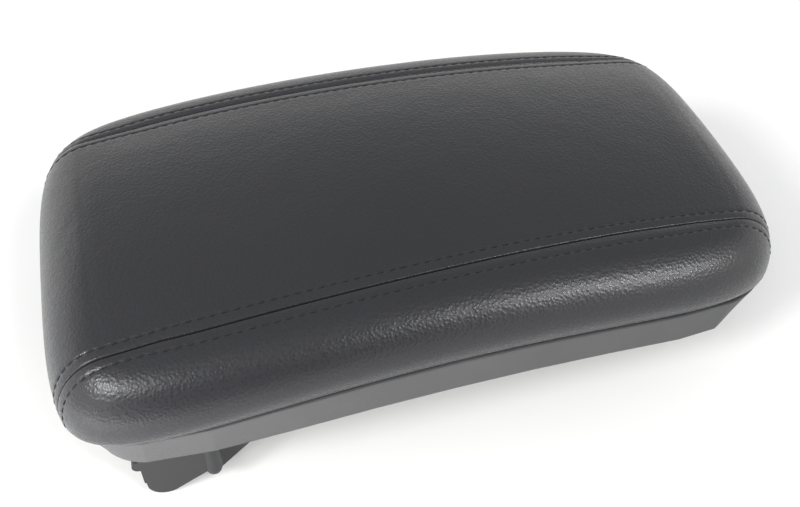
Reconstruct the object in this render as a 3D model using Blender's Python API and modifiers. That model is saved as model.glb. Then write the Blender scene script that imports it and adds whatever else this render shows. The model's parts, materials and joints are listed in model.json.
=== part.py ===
"""Center console armrest lid: a leather-wrapped foam pad on a moulded base.

It turns on a hinge bracket at its rear end and locks with a finger latch at its front end. The lid stands
level on the bracket and the latch hook. +X points to the front of the lid, +Y to its far side and +Z up. The
origin is on the ground under the middle of the lid.
"""

import math

import bmesh
import bpy
from mathutils import Matrix

MM = 0.001

# Clearances
GAP = 0.3 * MM  # between pieces that touch
FOAM_GAP = 0.7 * MM  # between the foam and the leather

# Padded top
LENGTH = 310 * MM
WIDTH = 174.8 * MM
CORNER_POWER = 5.7  # squareness of the plan outline, a superellipse
CORNER_FADE = 4  # how soon the grid lines inside the outline run straight again
TAPER = 0.045  # the front end is narrower by this share of the half width
STAND_HEIGHT = 45 * MM  # ground to the pad's lower edge, at both ends
PAD_HEIGHT = 51.3 * MM  # lower edge at the ends to the crown
CROWN_FALL_LONG = 13.6 * MM
CROWN_FALL_WIDE = 11.1 * MM
SHOULDER_SIDE = 17 * MM
SHOULDER_END = 21 * MM
WAIST_SIDE = 8.5 * MM  # lower edge to the widest line, along the sides
WAIST_END = 6 * MM
EDGE_TUCK = 1.6 * MM  # the lower edge lies this far inside the widest line
WALL_BEND = 0.4  # share of the wall's height at which it starts to tuck in
ARCH = 16.4 * MM  # rise of the lower edge at mid-length
LEATHER = 1.4 * MM
HEM = 9 * MM  # leather turned in under the carrier
SEAM_INSET = 25.6 * MM  # seam to the pad's side, at mid-length
SEAM_GAP = 0.6 * MM

# Stiff plate under the foam
CARRIER_THICKNESS = 2.5 * MM
POST_RADIUS = 4.6 * MM
CARRIER_POST_LENGTH = 6 * MM

# Base
BASE_INSET = 3.1 * MM
BASE_EDGE_GAP = 1.2 * MM  # shadow line between the pad and the base
BASE_DEPTH = 12.9 * MM  # pad's lower edge to the base's lower face, at both ends
BASE_ARCH = 11.3 * MM
BASE_WALL = 2.4 * MM
BASE_EDGE_CHAMFER = 1.2 * MM
BASE_FRONT_POWER = 9  # the lower face is squarer at its front corners
FRONT_SLOPE_RUN = 28 * MM
FRONT_SLOPE_INSET = 46 * MM  # front end to where the side walls begin to draw in
REAR_SLOPE_RUN = 8 * MM
REAR_SLOPE_INSET = 30 * MM
FRONT_RIM_EXTRA = 4 * MM  # more wall at the rim of the front slope

# Screws
SCREW_RADIUS = 1.7 * MM
SCREW_HEAD_RADIUS = 3.4 * MM
SCREW_HEAD_HEIGHT = 2 * MM
SCREW_BITE = 6 * MM
SCREW_TIP_ROOM = 0.8 * MM
RECESS_DEPTH = 2.8 * MM  # screw head seats above the base's lower face
CARRIER_SCREW_REAR_INSET = 69 * MM
CARRIER_SCREW_FRONT_INSET = 83 * MM
CARRIER_SCREW_SIDE_INSET = 33.4 * MM

# Hinge: reaches are along the lid from the pivot
HINGE_INSET = 35.5 * MM  # pivot to the lid's rear end
HINGE_Z = 9.4 * MM
PIN_RADIUS = 2.5 * MM
BUSH_WALL = 1.2 * MM
BUSH_FLANGE_RADIUS = 5.8 * MM
BUSH_FLANGE = 1 * MM
HINGE_SEAT_DROP = 2.2 * MM  # arm seats below the base's lower face at the ends
ARM_INSET = 13.4 * MM  # arm's outer face to the pad's side
ARM_THICKNESS = 3.4 * MM
ARM_SKIN = 1.2 * MM  # wall left outside the blind pivot hole
ARM_NOSE_RADIUS = 7.6 * MM
ARM_BOSS_RADIUS = 7 * MM
ARM_REAR_REACH = -8.5 * MM
ARM_FRONT_REACH = 18 * MM
ARM_FRONT_LOW_Z = 11 * MM
ARM_RIB_REACH = 19.7 * MM
ARM_RIB_RADIUS = 3.6 * MM
ARM_RIB_LOW_Z = 7.2 * MM
ARM_STOP_RADIUS = 3 * MM
ARM_STOP_DROP = 6.4 * MM  # below the arm's seat
ARM_FOOT_THICKNESS = 3 * MM
ARM_FOOT_WIDTH = 16.5 * MM
ARM_SCREW_INSET = 11 * MM  # arm's outer face to its screws
ARM_SCREW_REACHES = (-5 * MM, 12.5 * MM)
EAR_INSET = 7.8 * MM  # ear's outer face to the arm's outer face
EAR_HEAD_ROOM = 3.2 * MM  # top of the ear to the arm's screw heads
BRACKET_WALL = 2.8 * MM
BRACKET_REAR_REACH = -9.6 * MM
BRACKET_FRONT_REACH = 23 * MM
BRACKET_TIP_REACH = 13 * MM  # the ear's tip lies this far ahead of and above its front foot
BRACKET_TIP_DEPTH = 4 * MM
BRACKET_LIP_HEIGHT = 9 * MM
BRACKET_HOLE_RADIUS = 2.8 * MM
BRACKET_HOLE_REACH = 11.5 * MM
BRACKET_HOLE_Y = (-44 * MM, -16 * MM, 16 * MM, 44 * MM)

# Latch
LATCH_INSET = 48 * MM  # latch pin to the lid's front end
LATCH_SEAT_DROP = 1.5 * MM  # seat below the base's lower face at the front slope
LATCH_BLOCK_REACH = 12 * MM
LATCH_DROP = 7.2 * MM  # housing's seat face to the latch pin
LATCH_PIN_RADIUS = 2 * MM
LATCH_PIN_HEAD_RADIUS = 3.2 * MM
LATCH_PIN_HEAD_LENGTH = 1.4 * MM
HOUSING_WIDTH = 52 * MM
HOUSING_PLATE = 2 * MM
HOUSING_CHEEK = 2.4 * MM
HOUSING_CHEEK_RADIUS = 5 * MM
HOUSING_REACH = 10.5 * MM  # half length of the housing plate along the lid
HOUSING_EAR = 9 * MM  # screw ear beyond each cheek
LEVER_HUB_RADIUS = 4.2 * MM
LEVER_HUB_WIDTH = 22 * MM
HOOK_WIDTH = 16 * MM
HOOK_THICKNESS = 4.5 * MM
HOOK_SETBACK = 0.6 * MM  # hook's front face behind the latch pin
HOOK_NOSE = 6 * MM
HOOK_NOSE_HEIGHT = 8 * MM
PADDLE_WIDTH = 40 * MM
PADDLE_THICKNESS = 2.8 * MM
PADDLE_START = 6 * MM  # ahead of the latch pin
PADDLE_INSET = 15 * MM  # paddle's front edge to the lid's front end
PADDLE_RISE = 1.5 * MM
PADDLE_LIP = 3 * MM
SPRING_WIRE_RADIUS = 0.4 * MM
SPRING_TURNS = 4
SPRING_PITCH = 1.2 * MM
SPRING_LEG = 7 * MM

# Rubber buffers
BUFFER_RADIUS = 3.2 * MM
BUFFER_HEIGHT = 4.5 * MM
BUFFER_STEM_RADIUS = 1.8 * MM
BUFFER_STEM_LENGTH = 3.4 * MM
BUFFER_SEAT_DROP = 0.8 * MM
REAR_BUFFER_INSET = 23 * MM
REAR_BUFFER_SIDE_INSET = 16.8 * MM
FRONT_BUFFER_INSET = 57 * MM
FRONT_BUFFER_SIDE_INSET = 23.4 * MM

# Mesh fineness
SHOULDER_STEPS = 6
ROUND_SIDES = 20
HOLE_SIDES = 16
SPRING_SIDES = 10

# Worked out from the sizes above
HALF_LENGTH = LENGTH / 2
HALF_WIDTH = WIDTH / 2
CARRIER_INSET = EDGE_TUCK + LEATHER + GAP
CARRIER_LIFT = LEATHER + GAP  # pad's lower edge to the carrier's lower face
FOAM_INSET = LEATHER + FOAM_GAP
FOAM_LIFT = CARRIER_LIFT + CARRIER_THICKNESS + GAP
SCREW_HOLE_RADIUS = SCREW_RADIUS + GAP
HEAD_RECESS_RADIUS = SCREW_HEAD_RADIUS + GAP
BUSH_RADIUS = PIN_RADIUS + GAP + BUSH_WALL
CARRIER_SCREW_X = (CARRIER_SCREW_REAR_INSET - HALF_LENGTH, 0, HALF_LENGTH - CARRIER_SCREW_FRONT_INSET)
CARRIER_SCREW_Y = HALF_WIDTH - CARRIER_SCREW_SIDE_INSET
HINGE_X = HINGE_INSET - HALF_LENGTH
ARM_OUTER_Y = HALF_WIDTH - ARM_INSET
ARM_INNER_Y = ARM_OUTER_Y - ARM_THICKNESS
ARM_REAR_X = HINGE_X + ARM_REAR_REACH
ARM_FRONT_X = HINGE_X + ARM_FRONT_REACH
ARM_RIB_X = HINGE_X + ARM_RIB_REACH
ARM_SCREW_X = [HINGE_X + reach for reach in ARM_SCREW_REACHES]
ARM_SCREW_Y = ARM_OUTER_Y - ARM_SCREW_INSET
ARM_SEAT_Z = STAND_HEIGHT - BASE_DEPTH - HINGE_SEAT_DROP
ARM_STOP_Z = ARM_SEAT_Z - ARM_STOP_DROP
ARM_SCREW_SEAT_Z = ARM_SEAT_Z - GAP - ARM_FOOT_THICKNESS
BRACKET_EAR_Y = ARM_OUTER_Y - EAR_INSET
BRACKET_EAR_RADIUS = ARM_SCREW_SEAT_Z - SCREW_HEAD_HEIGHT - EAR_HEAD_ROOM - HINGE_Z
BRACKET_REAR_X = HINGE_X + BRACKET_REAR_REACH
BRACKET_FRONT_X = HINGE_X + BRACKET_FRONT_REACH
BRACKET_HOLE_X = HINGE_X + BRACKET_HOLE_REACH
ARM_BOSS_Y = BRACKET_EAR_Y + GAP + BUSH_FLANGE + GAP
BASE_FRONT_X = HALF_LENGTH - BASE_INSET - FRONT_SLOPE_RUN
FRONT_SLOPE_START = HALF_LENGTH - FRONT_SLOPE_INSET
LATCH_X = HALF_LENGTH - LATCH_INSET
PADDLE_FRONT_X = HALF_LENGTH - PADDLE_INSET
LATCH_FACE_Z = STAND_HEIGHT - BASE_DEPTH + BASE_ARCH * (1 - (BASE_FRONT_X / HALF_LENGTH) ** 2)
LATCH_SEAT_Z = LATCH_FACE_Z - LATCH_SEAT_DROP
LATCH_Z = LATCH_SEAT_Z - GAP - LATCH_DROP
HOUSING_HALF = HOUSING_WIDTH / 2
LATCH_SCREW_Y = HOUSING_HALF + HOUSING_EAR / 2

SIDES = (("near", -1), ("far", 1))
LID = "center_console_armrest_lid"
TOOLS = "cutters"
MERGE = 0.01 * MM
FINISHES = {
    "leather": ((0.018, 0.018, 0.021), 0.5, 0),
    "foam": ((0.55, 0.52, 0.42), 0.9, 0),
    "carrier": ((0.02, 0.02, 0.02), 0.6, 0),
    "base": ((0.055, 0.055, 0.058), 0.6, 0),
    "bracket": ((0.05, 0.05, 0.053), 0.55, 0),
    "bush": ((0.7, 0.68, 0.6), 0.5, 0),
    "steel": ((0.45, 0.45, 0.46), 0.35, 1),
    "rubber": ((0.4, 0.39, 0.36), 0.7, 0),
}


def arch_share(x):
    return 1 - (x / HALF_LENGTH) ** 2


def pad_edge_z(x):
    return STAND_HEIGHT + ARCH * arch_share(x)


def base_bottom_z(x):
    return STAND_HEIGHT - BASE_DEPTH + BASE_ARCH * arch_share(x)


def crown_z(x, y):
    fall = CROWN_FALL_LONG * (x / HALF_LENGTH) ** 2 + CROWN_FALL_WIDE * (y / HALF_WIDTH) ** 2
    return STAND_HEIGHT + PAD_HEIGHT - fall


def taper_at(x):
    return 1 - TAPER * x / HALF_LENGTH


def plan_point(u, v, inset, power=CORNER_POWER):
    """The plan point for (u, v), both from -1 to 1. The rim of that square lands on the outline."""
    large = max(abs(u), abs(v))
    small = min(abs(u), abs(v))
    share = small / large if large else 0
    at_rim = (1 + share**power) ** (-1 / power)
    pull = 1 - (1 - at_rim) * large**CORNER_FADE
    x = (HALF_LENGTH - inset) * u * pull
    return x, (HALF_WIDTH - inset) * v * pull * taper_at(x)


def rim_distance(x, y, inset):
    """Distance in from the plan outline, and how far that outline faces along X there, from 0 to 1."""
    half_length = HALF_LENGTH - inset
    half_width = (HALF_WIDTH - inset) * taper_at(x)
    across = abs(x) / half_length
    along = abs(y) / half_width
    reach = (across**CORNER_POWER + along**CORNER_POWER) ** (1 / CORNER_POWER)
    if reach < 1e-6:
        return half_width, 0
    slope_x = (across / reach) ** (CORNER_POWER - 1) / half_length
    slope_y = (along / reach) ** (CORNER_POWER - 1) / half_width
    steep = math.hypot(slope_x, slope_y)
    return max(0, (1 - reach) / steep), (slope_x / steep) ** 2


def waist_z(x, end_share):
    return pad_edge_z(x) + WAIST_SIDE * (1 - end_share) + WAIST_END * end_share


def pad_top_z(x, y, inset):
    """Height of the padded top, or of a skin that lies inside it by inset."""
    distance, end_share = rim_distance(x, y, inset)
    reach = SHOULDER_SIDE * (1 - end_share) + SHOULDER_END * end_share - inset
    top = crown_z(x, y) - inset
    into = min(1, max(0, 1 - distance / reach))
    return top - (top - waist_z(x, end_share)) * (1 - math.sqrt(1 - into**2))


def graded(edge, middle, seams):
    """Grid lines from -1 to 1: close together over each shoulder of the given share, even between."""
    turns = [k / SHOULDER_STEPS * math.pi / 2 for k in range(SHOULDER_STEPS + 1)]
    shoulder = [1 - edge * (1 - math.sin(turn)) for turn in turns]
    flat = seams or [shoulder[0]]
    inner = [flat[0] * (2 * k / middle - 1) for k in range(middle + 1)]
    if seams:
        return [-s for s in reversed(shoulder)] + inner + shoulder
    return [-s for s in reversed(shoulder)] + inner[1:-1] + shoulder


LINES_U = graded(SHOULDER_END / HALF_LENGTH, 8, None)
SEAM_SHARE = 1 - SEAM_INSET / HALF_WIDTH
SEAM_HALF_GAP = SEAM_GAP / WIDTH
LINES_V = graded(SHOULDER_SIDE / HALF_WIDTH, 6, [SEAM_SHARE])


def clear_scene():
    for item in list(bpy.data.objects):
        bpy.data.objects.remove(item, do_unlink=True)


def new_collection(name, hidden):
    group = bpy.data.collections.new(name)
    bpy.context.scene.collection.children.link(group)
    group.hide_render = hidden
    return group


def new_material(name, color, roughness, metallic):
    finish = bpy.data.materials.new(name)
    finish.use_nodes = True
    shader = finish.node_tree.nodes["Principled BSDF"]
    shader.inputs["Base Color"].default_value = (*color, 1)
    shader.inputs["Roughness"].default_value = roughness
    shader.inputs["Metallic"].default_value = metallic
    return finish


def add_object(name, bm):
    """A named object in the lid's collection, with the mesh of bm."""
    mesh = bpy.data.meshes.new(name)
    bmesh.ops.recalc_face_normals(bm, faces=bm.faces)
    bm.to_mesh(mesh)
    bm.free()
    item = bpy.data.objects.new(name, mesh)
    bpy.data.collections[LID].objects.link(item)
    return item


def finish(item, color_name):
    """Gives a piece its own material, shades its round faces smooth and returns it."""
    color, roughness, metallic = FINISHES[color_name]
    item.data.materials.append(new_material(item.name, color, roughness, metallic))
    item.data.shade_smooth()
    item.data.set_sharp_from_angle(angle=math.radians(40))
    return item


def as_tool(item):
    """Moves a piece to the hidden tools, which cut or join other pieces."""
    bpy.data.collections[LID].objects.unlink(item)
    bpy.data.collections[TOOLS].objects.link(item)
    item.hide_render = True
    item.display_type = "WIRE"
    return item


def boolean(item, tool, operation):
    step = item.modifiers.new(operation.lower() + " " + tool.name, "BOOLEAN")
    step.object = as_tool(tool)
    step.operation = operation
    step.solver = "EXACT"


def cut(item, tool):
    boolean(item, tool, "DIFFERENCE")


def join(item, tool):
    boolean(item, tool, "UNION")


def boxes(name, corners):
    """Boxes in one object, from their lowest and highest corners. They stand clear of each other."""
    bm = bmesh.new()
    for low, high in corners:
        middle = [(a + b) / 2 for a, b in zip(low, high)]
        size = [b - a for a, b in zip(low, high)]
        place = Matrix.Translation(middle) @ Matrix.Diagonal((*size, 1))
        bmesh.ops.create_cube(bm, size=1, matrix=place)
    return add_object(name, bm)


def rods(name, pieces):
    """Upright rods in one object: (x, y, low z, high z, radius) each. They stand clear of each other."""
    bm = bmesh.new()
    for x, y, low, high, radius in pieces:
        place = Matrix.Translation((x, y, (low + high) / 2))
        bmesh.ops.create_cone(
            bm,
            cap_ends=True,
            segments=HOLE_SIDES,
            radius1=radius,
            radius2=radius,
            depth=high - low,
            matrix=place,
        )
    return add_object(name, bm)


def cross_rod(name, radius, x, z, low_y, high_y, sides):
    """A rod along Y."""
    bm = bmesh.new()
    place = Matrix.Translation((x, (low_y + high_y) / 2, z)) @ Matrix.Rotation(math.pi / 2, 4, "X")
    bmesh.ops.create_cone(
        bm,
        cap_ends=True,
        segments=sides,
        radius1=radius,
        radius2=radius,
        depth=high_y - low_y,
        matrix=place,
    )
    return add_object(name, bm)


def turned(name, profile, place, sides=ROUND_SIDES):
    """A turned piece. The profile is (radius, height) pairs from the top of its axis to the foot."""
    bm = bmesh.new()
    points = [bm.verts.new((radius, 0, height)) for radius, height in profile]
    for a, b in zip(points, points[1:]):
        bm.edges.new((a, b))
    if profile[0][0] > 0:
        bm.edges.new((points[-1], points[0]))
    mesh = bpy.data.meshes.new(name)
    bm.to_mesh(mesh)
    bm.free()
    item = bpy.data.objects.new(name, mesh)
    bpy.data.collections[LID].objects.link(item)
    spin = item.modifiers.new("turn", "SCREW")
    spin.steps = sides
    spin.render_steps = sides
    spin.use_merge_vertices = True
    spin.merge_threshold = MERGE
    item.matrix_world = place
    return item


def plate_xz(name, outline, low_y, high_y, hole=()):
    """A flat piece: an outline of (x, z) points, and a hole in it, filled and extruded along Y."""
    curve = bpy.data.curves.new(name, "CURVE")
    curve.dimensions = "2D"
    curve.fill_mode = "BOTH"
    curve.extrude = (high_y - low_y) / 2
    for line in filter(None, (outline, hole)):
        spline = curve.splines.new("POLY")
        spline.points.add(len(line) - 1)
        for point, (x, z) in zip(spline.points, line):
            point.co = (x, z, 0, 1)
        spline.use_cyclic_u = True
    drawn = bpy.data.objects.new(name + " outline", curve)
    bpy.data.collections[LID].objects.link(drawn)
    bpy.context.view_layer.update()
    mesh = bpy.data.meshes.new_from_object(drawn.evaluated_get(bpy.context.evaluated_depsgraph_get()))
    bpy.data.objects.remove(drawn, do_unlink=True)
    bm = bmesh.new()
    bm.from_mesh(mesh)
    bpy.data.meshes.remove(mesh)
    bmesh.ops.remove_doubles(bm, verts=bm.verts, dist=MERGE)
    stand = Matrix.Translation((0, (low_y + high_y) / 2, 0)) @ Matrix.Rotation(math.pi / 2, 4, "X")
    bmesh.ops.transform(bm, matrix=stand, verts=bm.verts)
    return add_object(name, bm)


def arc(centre_x, centre_z, radius, start, end, steps):
    """Points on a circle in the XZ plane, from one angle to another in degrees."""
    turns = [math.radians(start + (end - start) * k / steps) for k in range(steps + 1)]
    return [(centre_x + radius * math.cos(t), centre_z + radius * math.sin(t)) for t in turns]


def grid_sheet(lines_u, lines_v, place):
    """An open grid whose vertices keep their (u, v) and are placed by a function of it."""
    bm = bmesh.new()
    keep_u = bm.verts.layers.float.new("u")
    keep_v = bm.verts.layers.float.new("v")
    bmesh.ops.create_grid(bm, x_segments=len(lines_u) - 1, y_segments=len(lines_v) - 1, size=1)
    for vert in bm.verts:
        column = round((vert.co.x + 1) / 2 * (len(lines_u) - 1))
        row = round((vert.co.y + 1) / 2 * (len(lines_v) - 1))
        vert[keep_u] = lines_u[column]
        vert[keep_v] = lines_v[row]
    for vert in bm.verts:
        vert.co = place(vert[keep_u], vert[keep_v])
    return bm


def on_rim(bm, edge):
    """True for an open edge that lies on the plan outline, not along a seam."""
    keep_u = bm.verts.layers.float["u"]
    keep_v = bm.verts.layers.float["v"]
    along_end = all(math.isclose(abs(vert[keep_u]), 1, abs_tol=1e-4) for vert in edge.verts)
    along_side = all(math.isclose(abs(vert[keep_v]), 1, abs_tol=1e-4) for vert in edge.verts)
    return edge.is_boundary and (along_end or along_side)


def hang_row(bm, rim, place):
    """Extrudes the rim edges and places the new points; returns the new rim."""
    keep_u = bm.verts.layers.float["u"]
    keep_v = bm.verts.layers.float["v"]
    made = bmesh.ops.extrude_edge_only(bm, edges=rim)["geom"]
    for vert in [g for g in made if isinstance(g, bmesh.types.BMVert)]:
        vert.co = place(vert[keep_u], vert[keep_v])
    return [g for g in made if isinstance(g, bmesh.types.BMEdge) and g.is_boundary and on_rim(bm, g)]


def top_point(u, v, inset):
    x, y = plan_point(u, v, inset)
    return x, y, pad_top_z(x, y, inset)


def wall_point(u, v, share, tuck):
    """A point of the pad's wall, share of the way from the lower edge up to the widest line."""
    x, y = plan_point(u, v, tuck)
    wide_x, wide_y = plan_point(u, v, 0)
    end_share = rim_distance(wide_x, wide_y, 0)[1]
    low = pad_edge_z(x)
    return x, y, low + share * (waist_z(wide_x, end_share) - low)


def cover_panel(name, lines_v):
    """One leather panel: its part of the top, the wall below and the hem turned in under the carrier."""
    bm = grid_sheet(LINES_U, lines_v, lambda u, v: top_point(u, v, 0))
    rim = [edge for edge in bm.edges if on_rim(bm, edge)]
    rim = hang_row(bm, rim, lambda u, v: wall_point(u, v, WALL_BEND, EDGE_TUCK / 4))
    rim = hang_row(bm, rim, lambda u, v: wall_point(u, v, 0, EDGE_TUCK))
    hang_row(bm, rim, lambda u, v: wall_point(u, v, 0, EDGE_TUCK + HEM))
    panel = add_object(name, bm)
    skin = panel.modifiers.new("leather", "SOLIDIFY")
    skin.thickness = LEATHER
    skin.offset = -1
    skin.use_even_offset = True
    return finish(panel, "leather")


def build_cover():
    inner = SEAM_SHARE - SEAM_HALF_GAP
    outer = SEAM_SHARE + SEAM_HALF_GAP
    centre = [v for v in LINES_V if abs(v) < inner]
    side = [outer] + [v for v in LINES_V if v > outer]
    return [
        cover_panel("cover_centre_panel", [-inner] + centre + [inner]),
        cover_panel("cover_side_panel_far", side),
        cover_panel("cover_side_panel_near", [-v for v in reversed(side)]),
    ]


def slab(name, top, walls, bottom):
    """A closed body between two grids with the same lines, joined at their rims by rows of points."""
    bm = grid_sheet(LINES_U, LINES_V, top)
    rim = [edge for edge in bm.edges if on_rim(bm, edge)]
    for wall in walls:
        rim = hang_row(bm, rim, wall)
    under = grid_sheet(LINES_U, LINES_V, bottom)
    mesh = bpy.data.meshes.new(name + " under")
    under.to_mesh(mesh)
    under.free()
    bm.from_mesh(mesh)
    bpy.data.meshes.remove(mesh)
    bmesh.ops.remove_doubles(bm, verts=bm.verts, dist=MERGE)
    return add_object(name, bm)


def build_foam():
    def top(u, v):
        return top_point(u, v, FOAM_INSET)

    def under(u, v):
        x, y = plan_point(u, v, FOAM_INSET + EDGE_TUCK)
        return x, y, pad_edge_z(x) + FOAM_LIFT

    return finish(slab("foam_pad", top, [under], under), "foam")


def carrier_bottom_z(x):
    return pad_edge_z(x) + CARRIER_LIFT


def carrier_screw_places():
    return [(x, side * CARRIER_SCREW_Y) for x in CARRIER_SCREW_X for side in (-1, 1)]


def build_carrier():
    def top(u, v):
        x, y = plan_point(u, v, CARRIER_INSET)
        return x, y, carrier_bottom_z(x) + CARRIER_THICKNESS

    def bottom(u, v):
        x, y = plan_point(u, v, CARRIER_INSET)
        return x, y, carrier_bottom_z(x)

    carrier = slab("pad_carrier", top, [bottom], bottom)
    posts = []
    holes = []
    for x, y in carrier_screw_places():
        low = carrier_bottom_z(x) - CARRIER_POST_LENGTH
        posts.append((x, y, low, carrier_bottom_z(x) + CARRIER_THICKNESS / 2, POST_RADIUS))
        holes.append((x, y, low - GAP, low + SCREW_BITE + SCREW_TIP_ROOM, SCREW_HOLE_RADIUS))
    join(carrier, rods("carrier posts", posts))
    cut(carrier, rods("carrier screw holes", holes))
    return finish(carrier, "carrier")


def slope_share(x, start):
    """How far along the drawn-in part of an end a point of the base's rim lies, from 0 to 1."""
    return max(0, (x - start) / (HALF_LENGTH - BASE_INSET - start))


def draw_in(x):
    """Where a point of the base's rim comes down to on the lower face: both ends slope inwards."""
    at_front = slope_share(x, FRONT_SLOPE_START) * FRONT_SLOPE_RUN
    at_rear = slope_share(-x, HALF_LENGTH - REAR_SLOPE_INSET) * REAR_SLOPE_RUN
    return x - at_front + at_rear


def lower_plan_point(u, v, inset):
    """The plan point on the base's lower outline, before the ends are drawn in."""
    return plan_point(u, v, inset, BASE_FRONT_POWER if u > 0 else CORNER_POWER)


def base_floor_point(u, v):
    x, y = lower_plan_point(u, v, BASE_INSET + BASE_EDGE_CHAMFER)
    x = draw_in(x)
    return x, y, base_bottom_z(x)


def base_chamfer_point(u, v):
    x, y = lower_plan_point(u, v, BASE_INSET)
    low_x = draw_in(x)
    share = BASE_EDGE_CHAMFER / (pad_edge_z(x) - BASE_EDGE_GAP - base_bottom_z(low_x))
    return low_x + (x - low_x) * share, y, base_bottom_z(low_x) + BASE_EDGE_CHAMFER


def base_rim_point(u, v):
    x, y = plan_point(u, v, BASE_INSET)
    return x, y, pad_edge_z(x) - BASE_EDGE_GAP


def base_inner_rim_point(u, v):
    outer_z = base_rim_point(u, v)[2]
    x, y = plan_point(u, v, BASE_INSET + BASE_WALL)
    return x - FRONT_RIM_EXTRA * slope_share(x, FRONT_SLOPE_START), y, outer_z


def base_inner_floor_point(u, v):
    x, y = lower_plan_point(u, v, BASE_INSET + BASE_WALL)
    x = draw_in(x) - BASE_WALL * slope_share(x, FRONT_SLOPE_START)
    return x, y, base_bottom_z(x) + BASE_WALL


def arm_seat(side):
    low_x = ARM_REAR_X + GAP
    high_x = ARM_RIB_X + ARM_RIB_RADIUS - GAP
    edges = sorted((side * (ARM_OUTER_Y - GAP), side * (ARM_OUTER_Y - ARM_FOOT_WIDTH + GAP)))
    return (low_x, edges[0], ARM_SEAT_Z), (high_x, edges[1], base_bottom_z(high_x) + BASE_WALL / 2)


def buffer_places():
    places = {}
    for word, side in SIDES:
        rear_y = side * (HALF_WIDTH - REAR_BUFFER_SIDE_INSET)
        front_y = side * (HALF_WIDTH - FRONT_BUFFER_SIDE_INSET)
        places["buffer_rear_" + word] = (REAR_BUFFER_INSET - HALF_LENGTH, rear_y)
        places["buffer_front_" + word] = (HALF_LENGTH - FRONT_BUFFER_INSET, front_y)
    return places


def buffer_seat_z(x):
    return base_bottom_z(x) - BUFFER_SEAT_DROP


def build_base():
    walls = [base_inner_rim_point, base_rim_point, base_chamfer_point, base_floor_point]
    base = slab("lid_base", base_inner_floor_point, walls, base_floor_point)
    latch_low = (LATCH_X - LATCH_BLOCK_REACH, -HOUSING_HALF - HOUSING_EAR, LATCH_SEAT_Z)
    latch_high_z = base_bottom_z(latch_low[0]) + BASE_WALL / 2
    latch_high = (LATCH_X + LATCH_BLOCK_REACH, HOUSING_HALF + HOUSING_EAR, latch_high_z)
    join(base, boxes("seats", [arm_seat(-1), arm_seat(1), (latch_low, latch_high)]))
    posts = []
    blind = []
    through = []
    for x, y in carrier_screw_places():
        top = carrier_bottom_z(x) - CARRIER_POST_LENGTH - GAP
        seat = base_bottom_z(x) + RECESS_DEPTH
        posts.append((x, y, base_bottom_z(x) + BASE_WALL / 2, top, POST_RADIUS))
        blind.append((x, y, base_bottom_z(x) - RECESS_DEPTH, seat, HEAD_RECESS_RADIUS))
        through.append((x, y, seat - GAP, top + GAP, SCREW_HOLE_RADIUS))
    for x, y in buffer_places().values():
        seat = buffer_seat_z(x)
        posts.append((x, y, seat, base_bottom_z(x) + BASE_WALL / 2, BUFFER_RADIUS + GAP))
        blind.append((x, y, seat - GAP, seat + BUFFER_STEM_LENGTH + GAP, BUFFER_STEM_RADIUS + GAP))
    for x in ARM_SCREW_X:
        for side in (-1, 1):
            high = ARM_SEAT_Z + SCREW_BITE + SCREW_TIP_ROOM
            blind.append((x, side * ARM_SCREW_Y, ARM_SEAT_Z - GAP, high, SCREW_HOLE_RADIUS))
    for side in (-1, 1):
        high = LATCH_SEAT_Z + SCREW_BITE + SCREW_TIP_ROOM
        blind.append((LATCH_X, side * LATCH_SCREW_Y, LATCH_SEAT_Z - GAP, high, SCREW_HOLE_RADIUS))
    join(base, rods("base posts", posts))
    cut(base, rods("base recesses", blind))
    cut(base, rods("base screw holes", through))
    return finish(base, "base")


def screw(name, x, y, seat_z, length):
    """A pan-head screw that points up, its head under the seat."""
    tip = length
    profile = [
        (0, tip),
        (SCREW_RADIUS * 0.4, tip),
        (SCREW_RADIUS, tip - SCREW_RADIUS),
        (SCREW_RADIUS, -GAP),
        (SCREW_HEAD_RADIUS, -GAP),
        (SCREW_HEAD_RADIUS, -SCREW_HEAD_HEIGHT * 0.6),
        (SCREW_HEAD_RADIUS * 0.7, -SCREW_HEAD_HEIGHT),
        (0, -SCREW_HEAD_HEIGHT),
    ]
    made = turned(name, profile, Matrix.Translation((x, y, seat_z)), HOLE_SIDES)
    return finish(made, "steel")


def build_carrier_screws():
    made = []
    for number, (x, y) in enumerate(carrier_screw_places(), 1):
        seat = base_bottom_z(x) + RECESS_DEPTH
        tip = carrier_bottom_z(x) - CARRIER_POST_LENGTH + SCREW_BITE
        made.append(screw(f"carrier_screw_{number}", x, y, seat, tip - seat))
    return made


def arm_outline():
    nose = arc(HINGE_X, HINGE_Z, ARM_NOSE_RADIUS, 190, 310, 8)
    top = ARM_SEAT_Z - GAP
    return [(ARM_REAR_X, top), *nose, (ARM_FRONT_X, ARM_FRONT_LOW_Z), (ARM_FRONT_X, top)]


def domed_peg(name, x, y, low, high, radius):
    """An upright peg with a round lower end."""
    turns = (0, math.pi / 6, math.pi / 3)
    dome = [(radius * math.cos(turn), low + radius * (1 - math.sin(turn))) for turn in turns]
    profile = [(0, high), (radius, high), *dome, (0, low)]
    return turned(name, profile, Matrix.Translation((x, y, 0)))


def between(side, a, b):
    """Two distances from the middle, as the low and high Y on that side."""
    return sorted((side * a, side * b))


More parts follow.
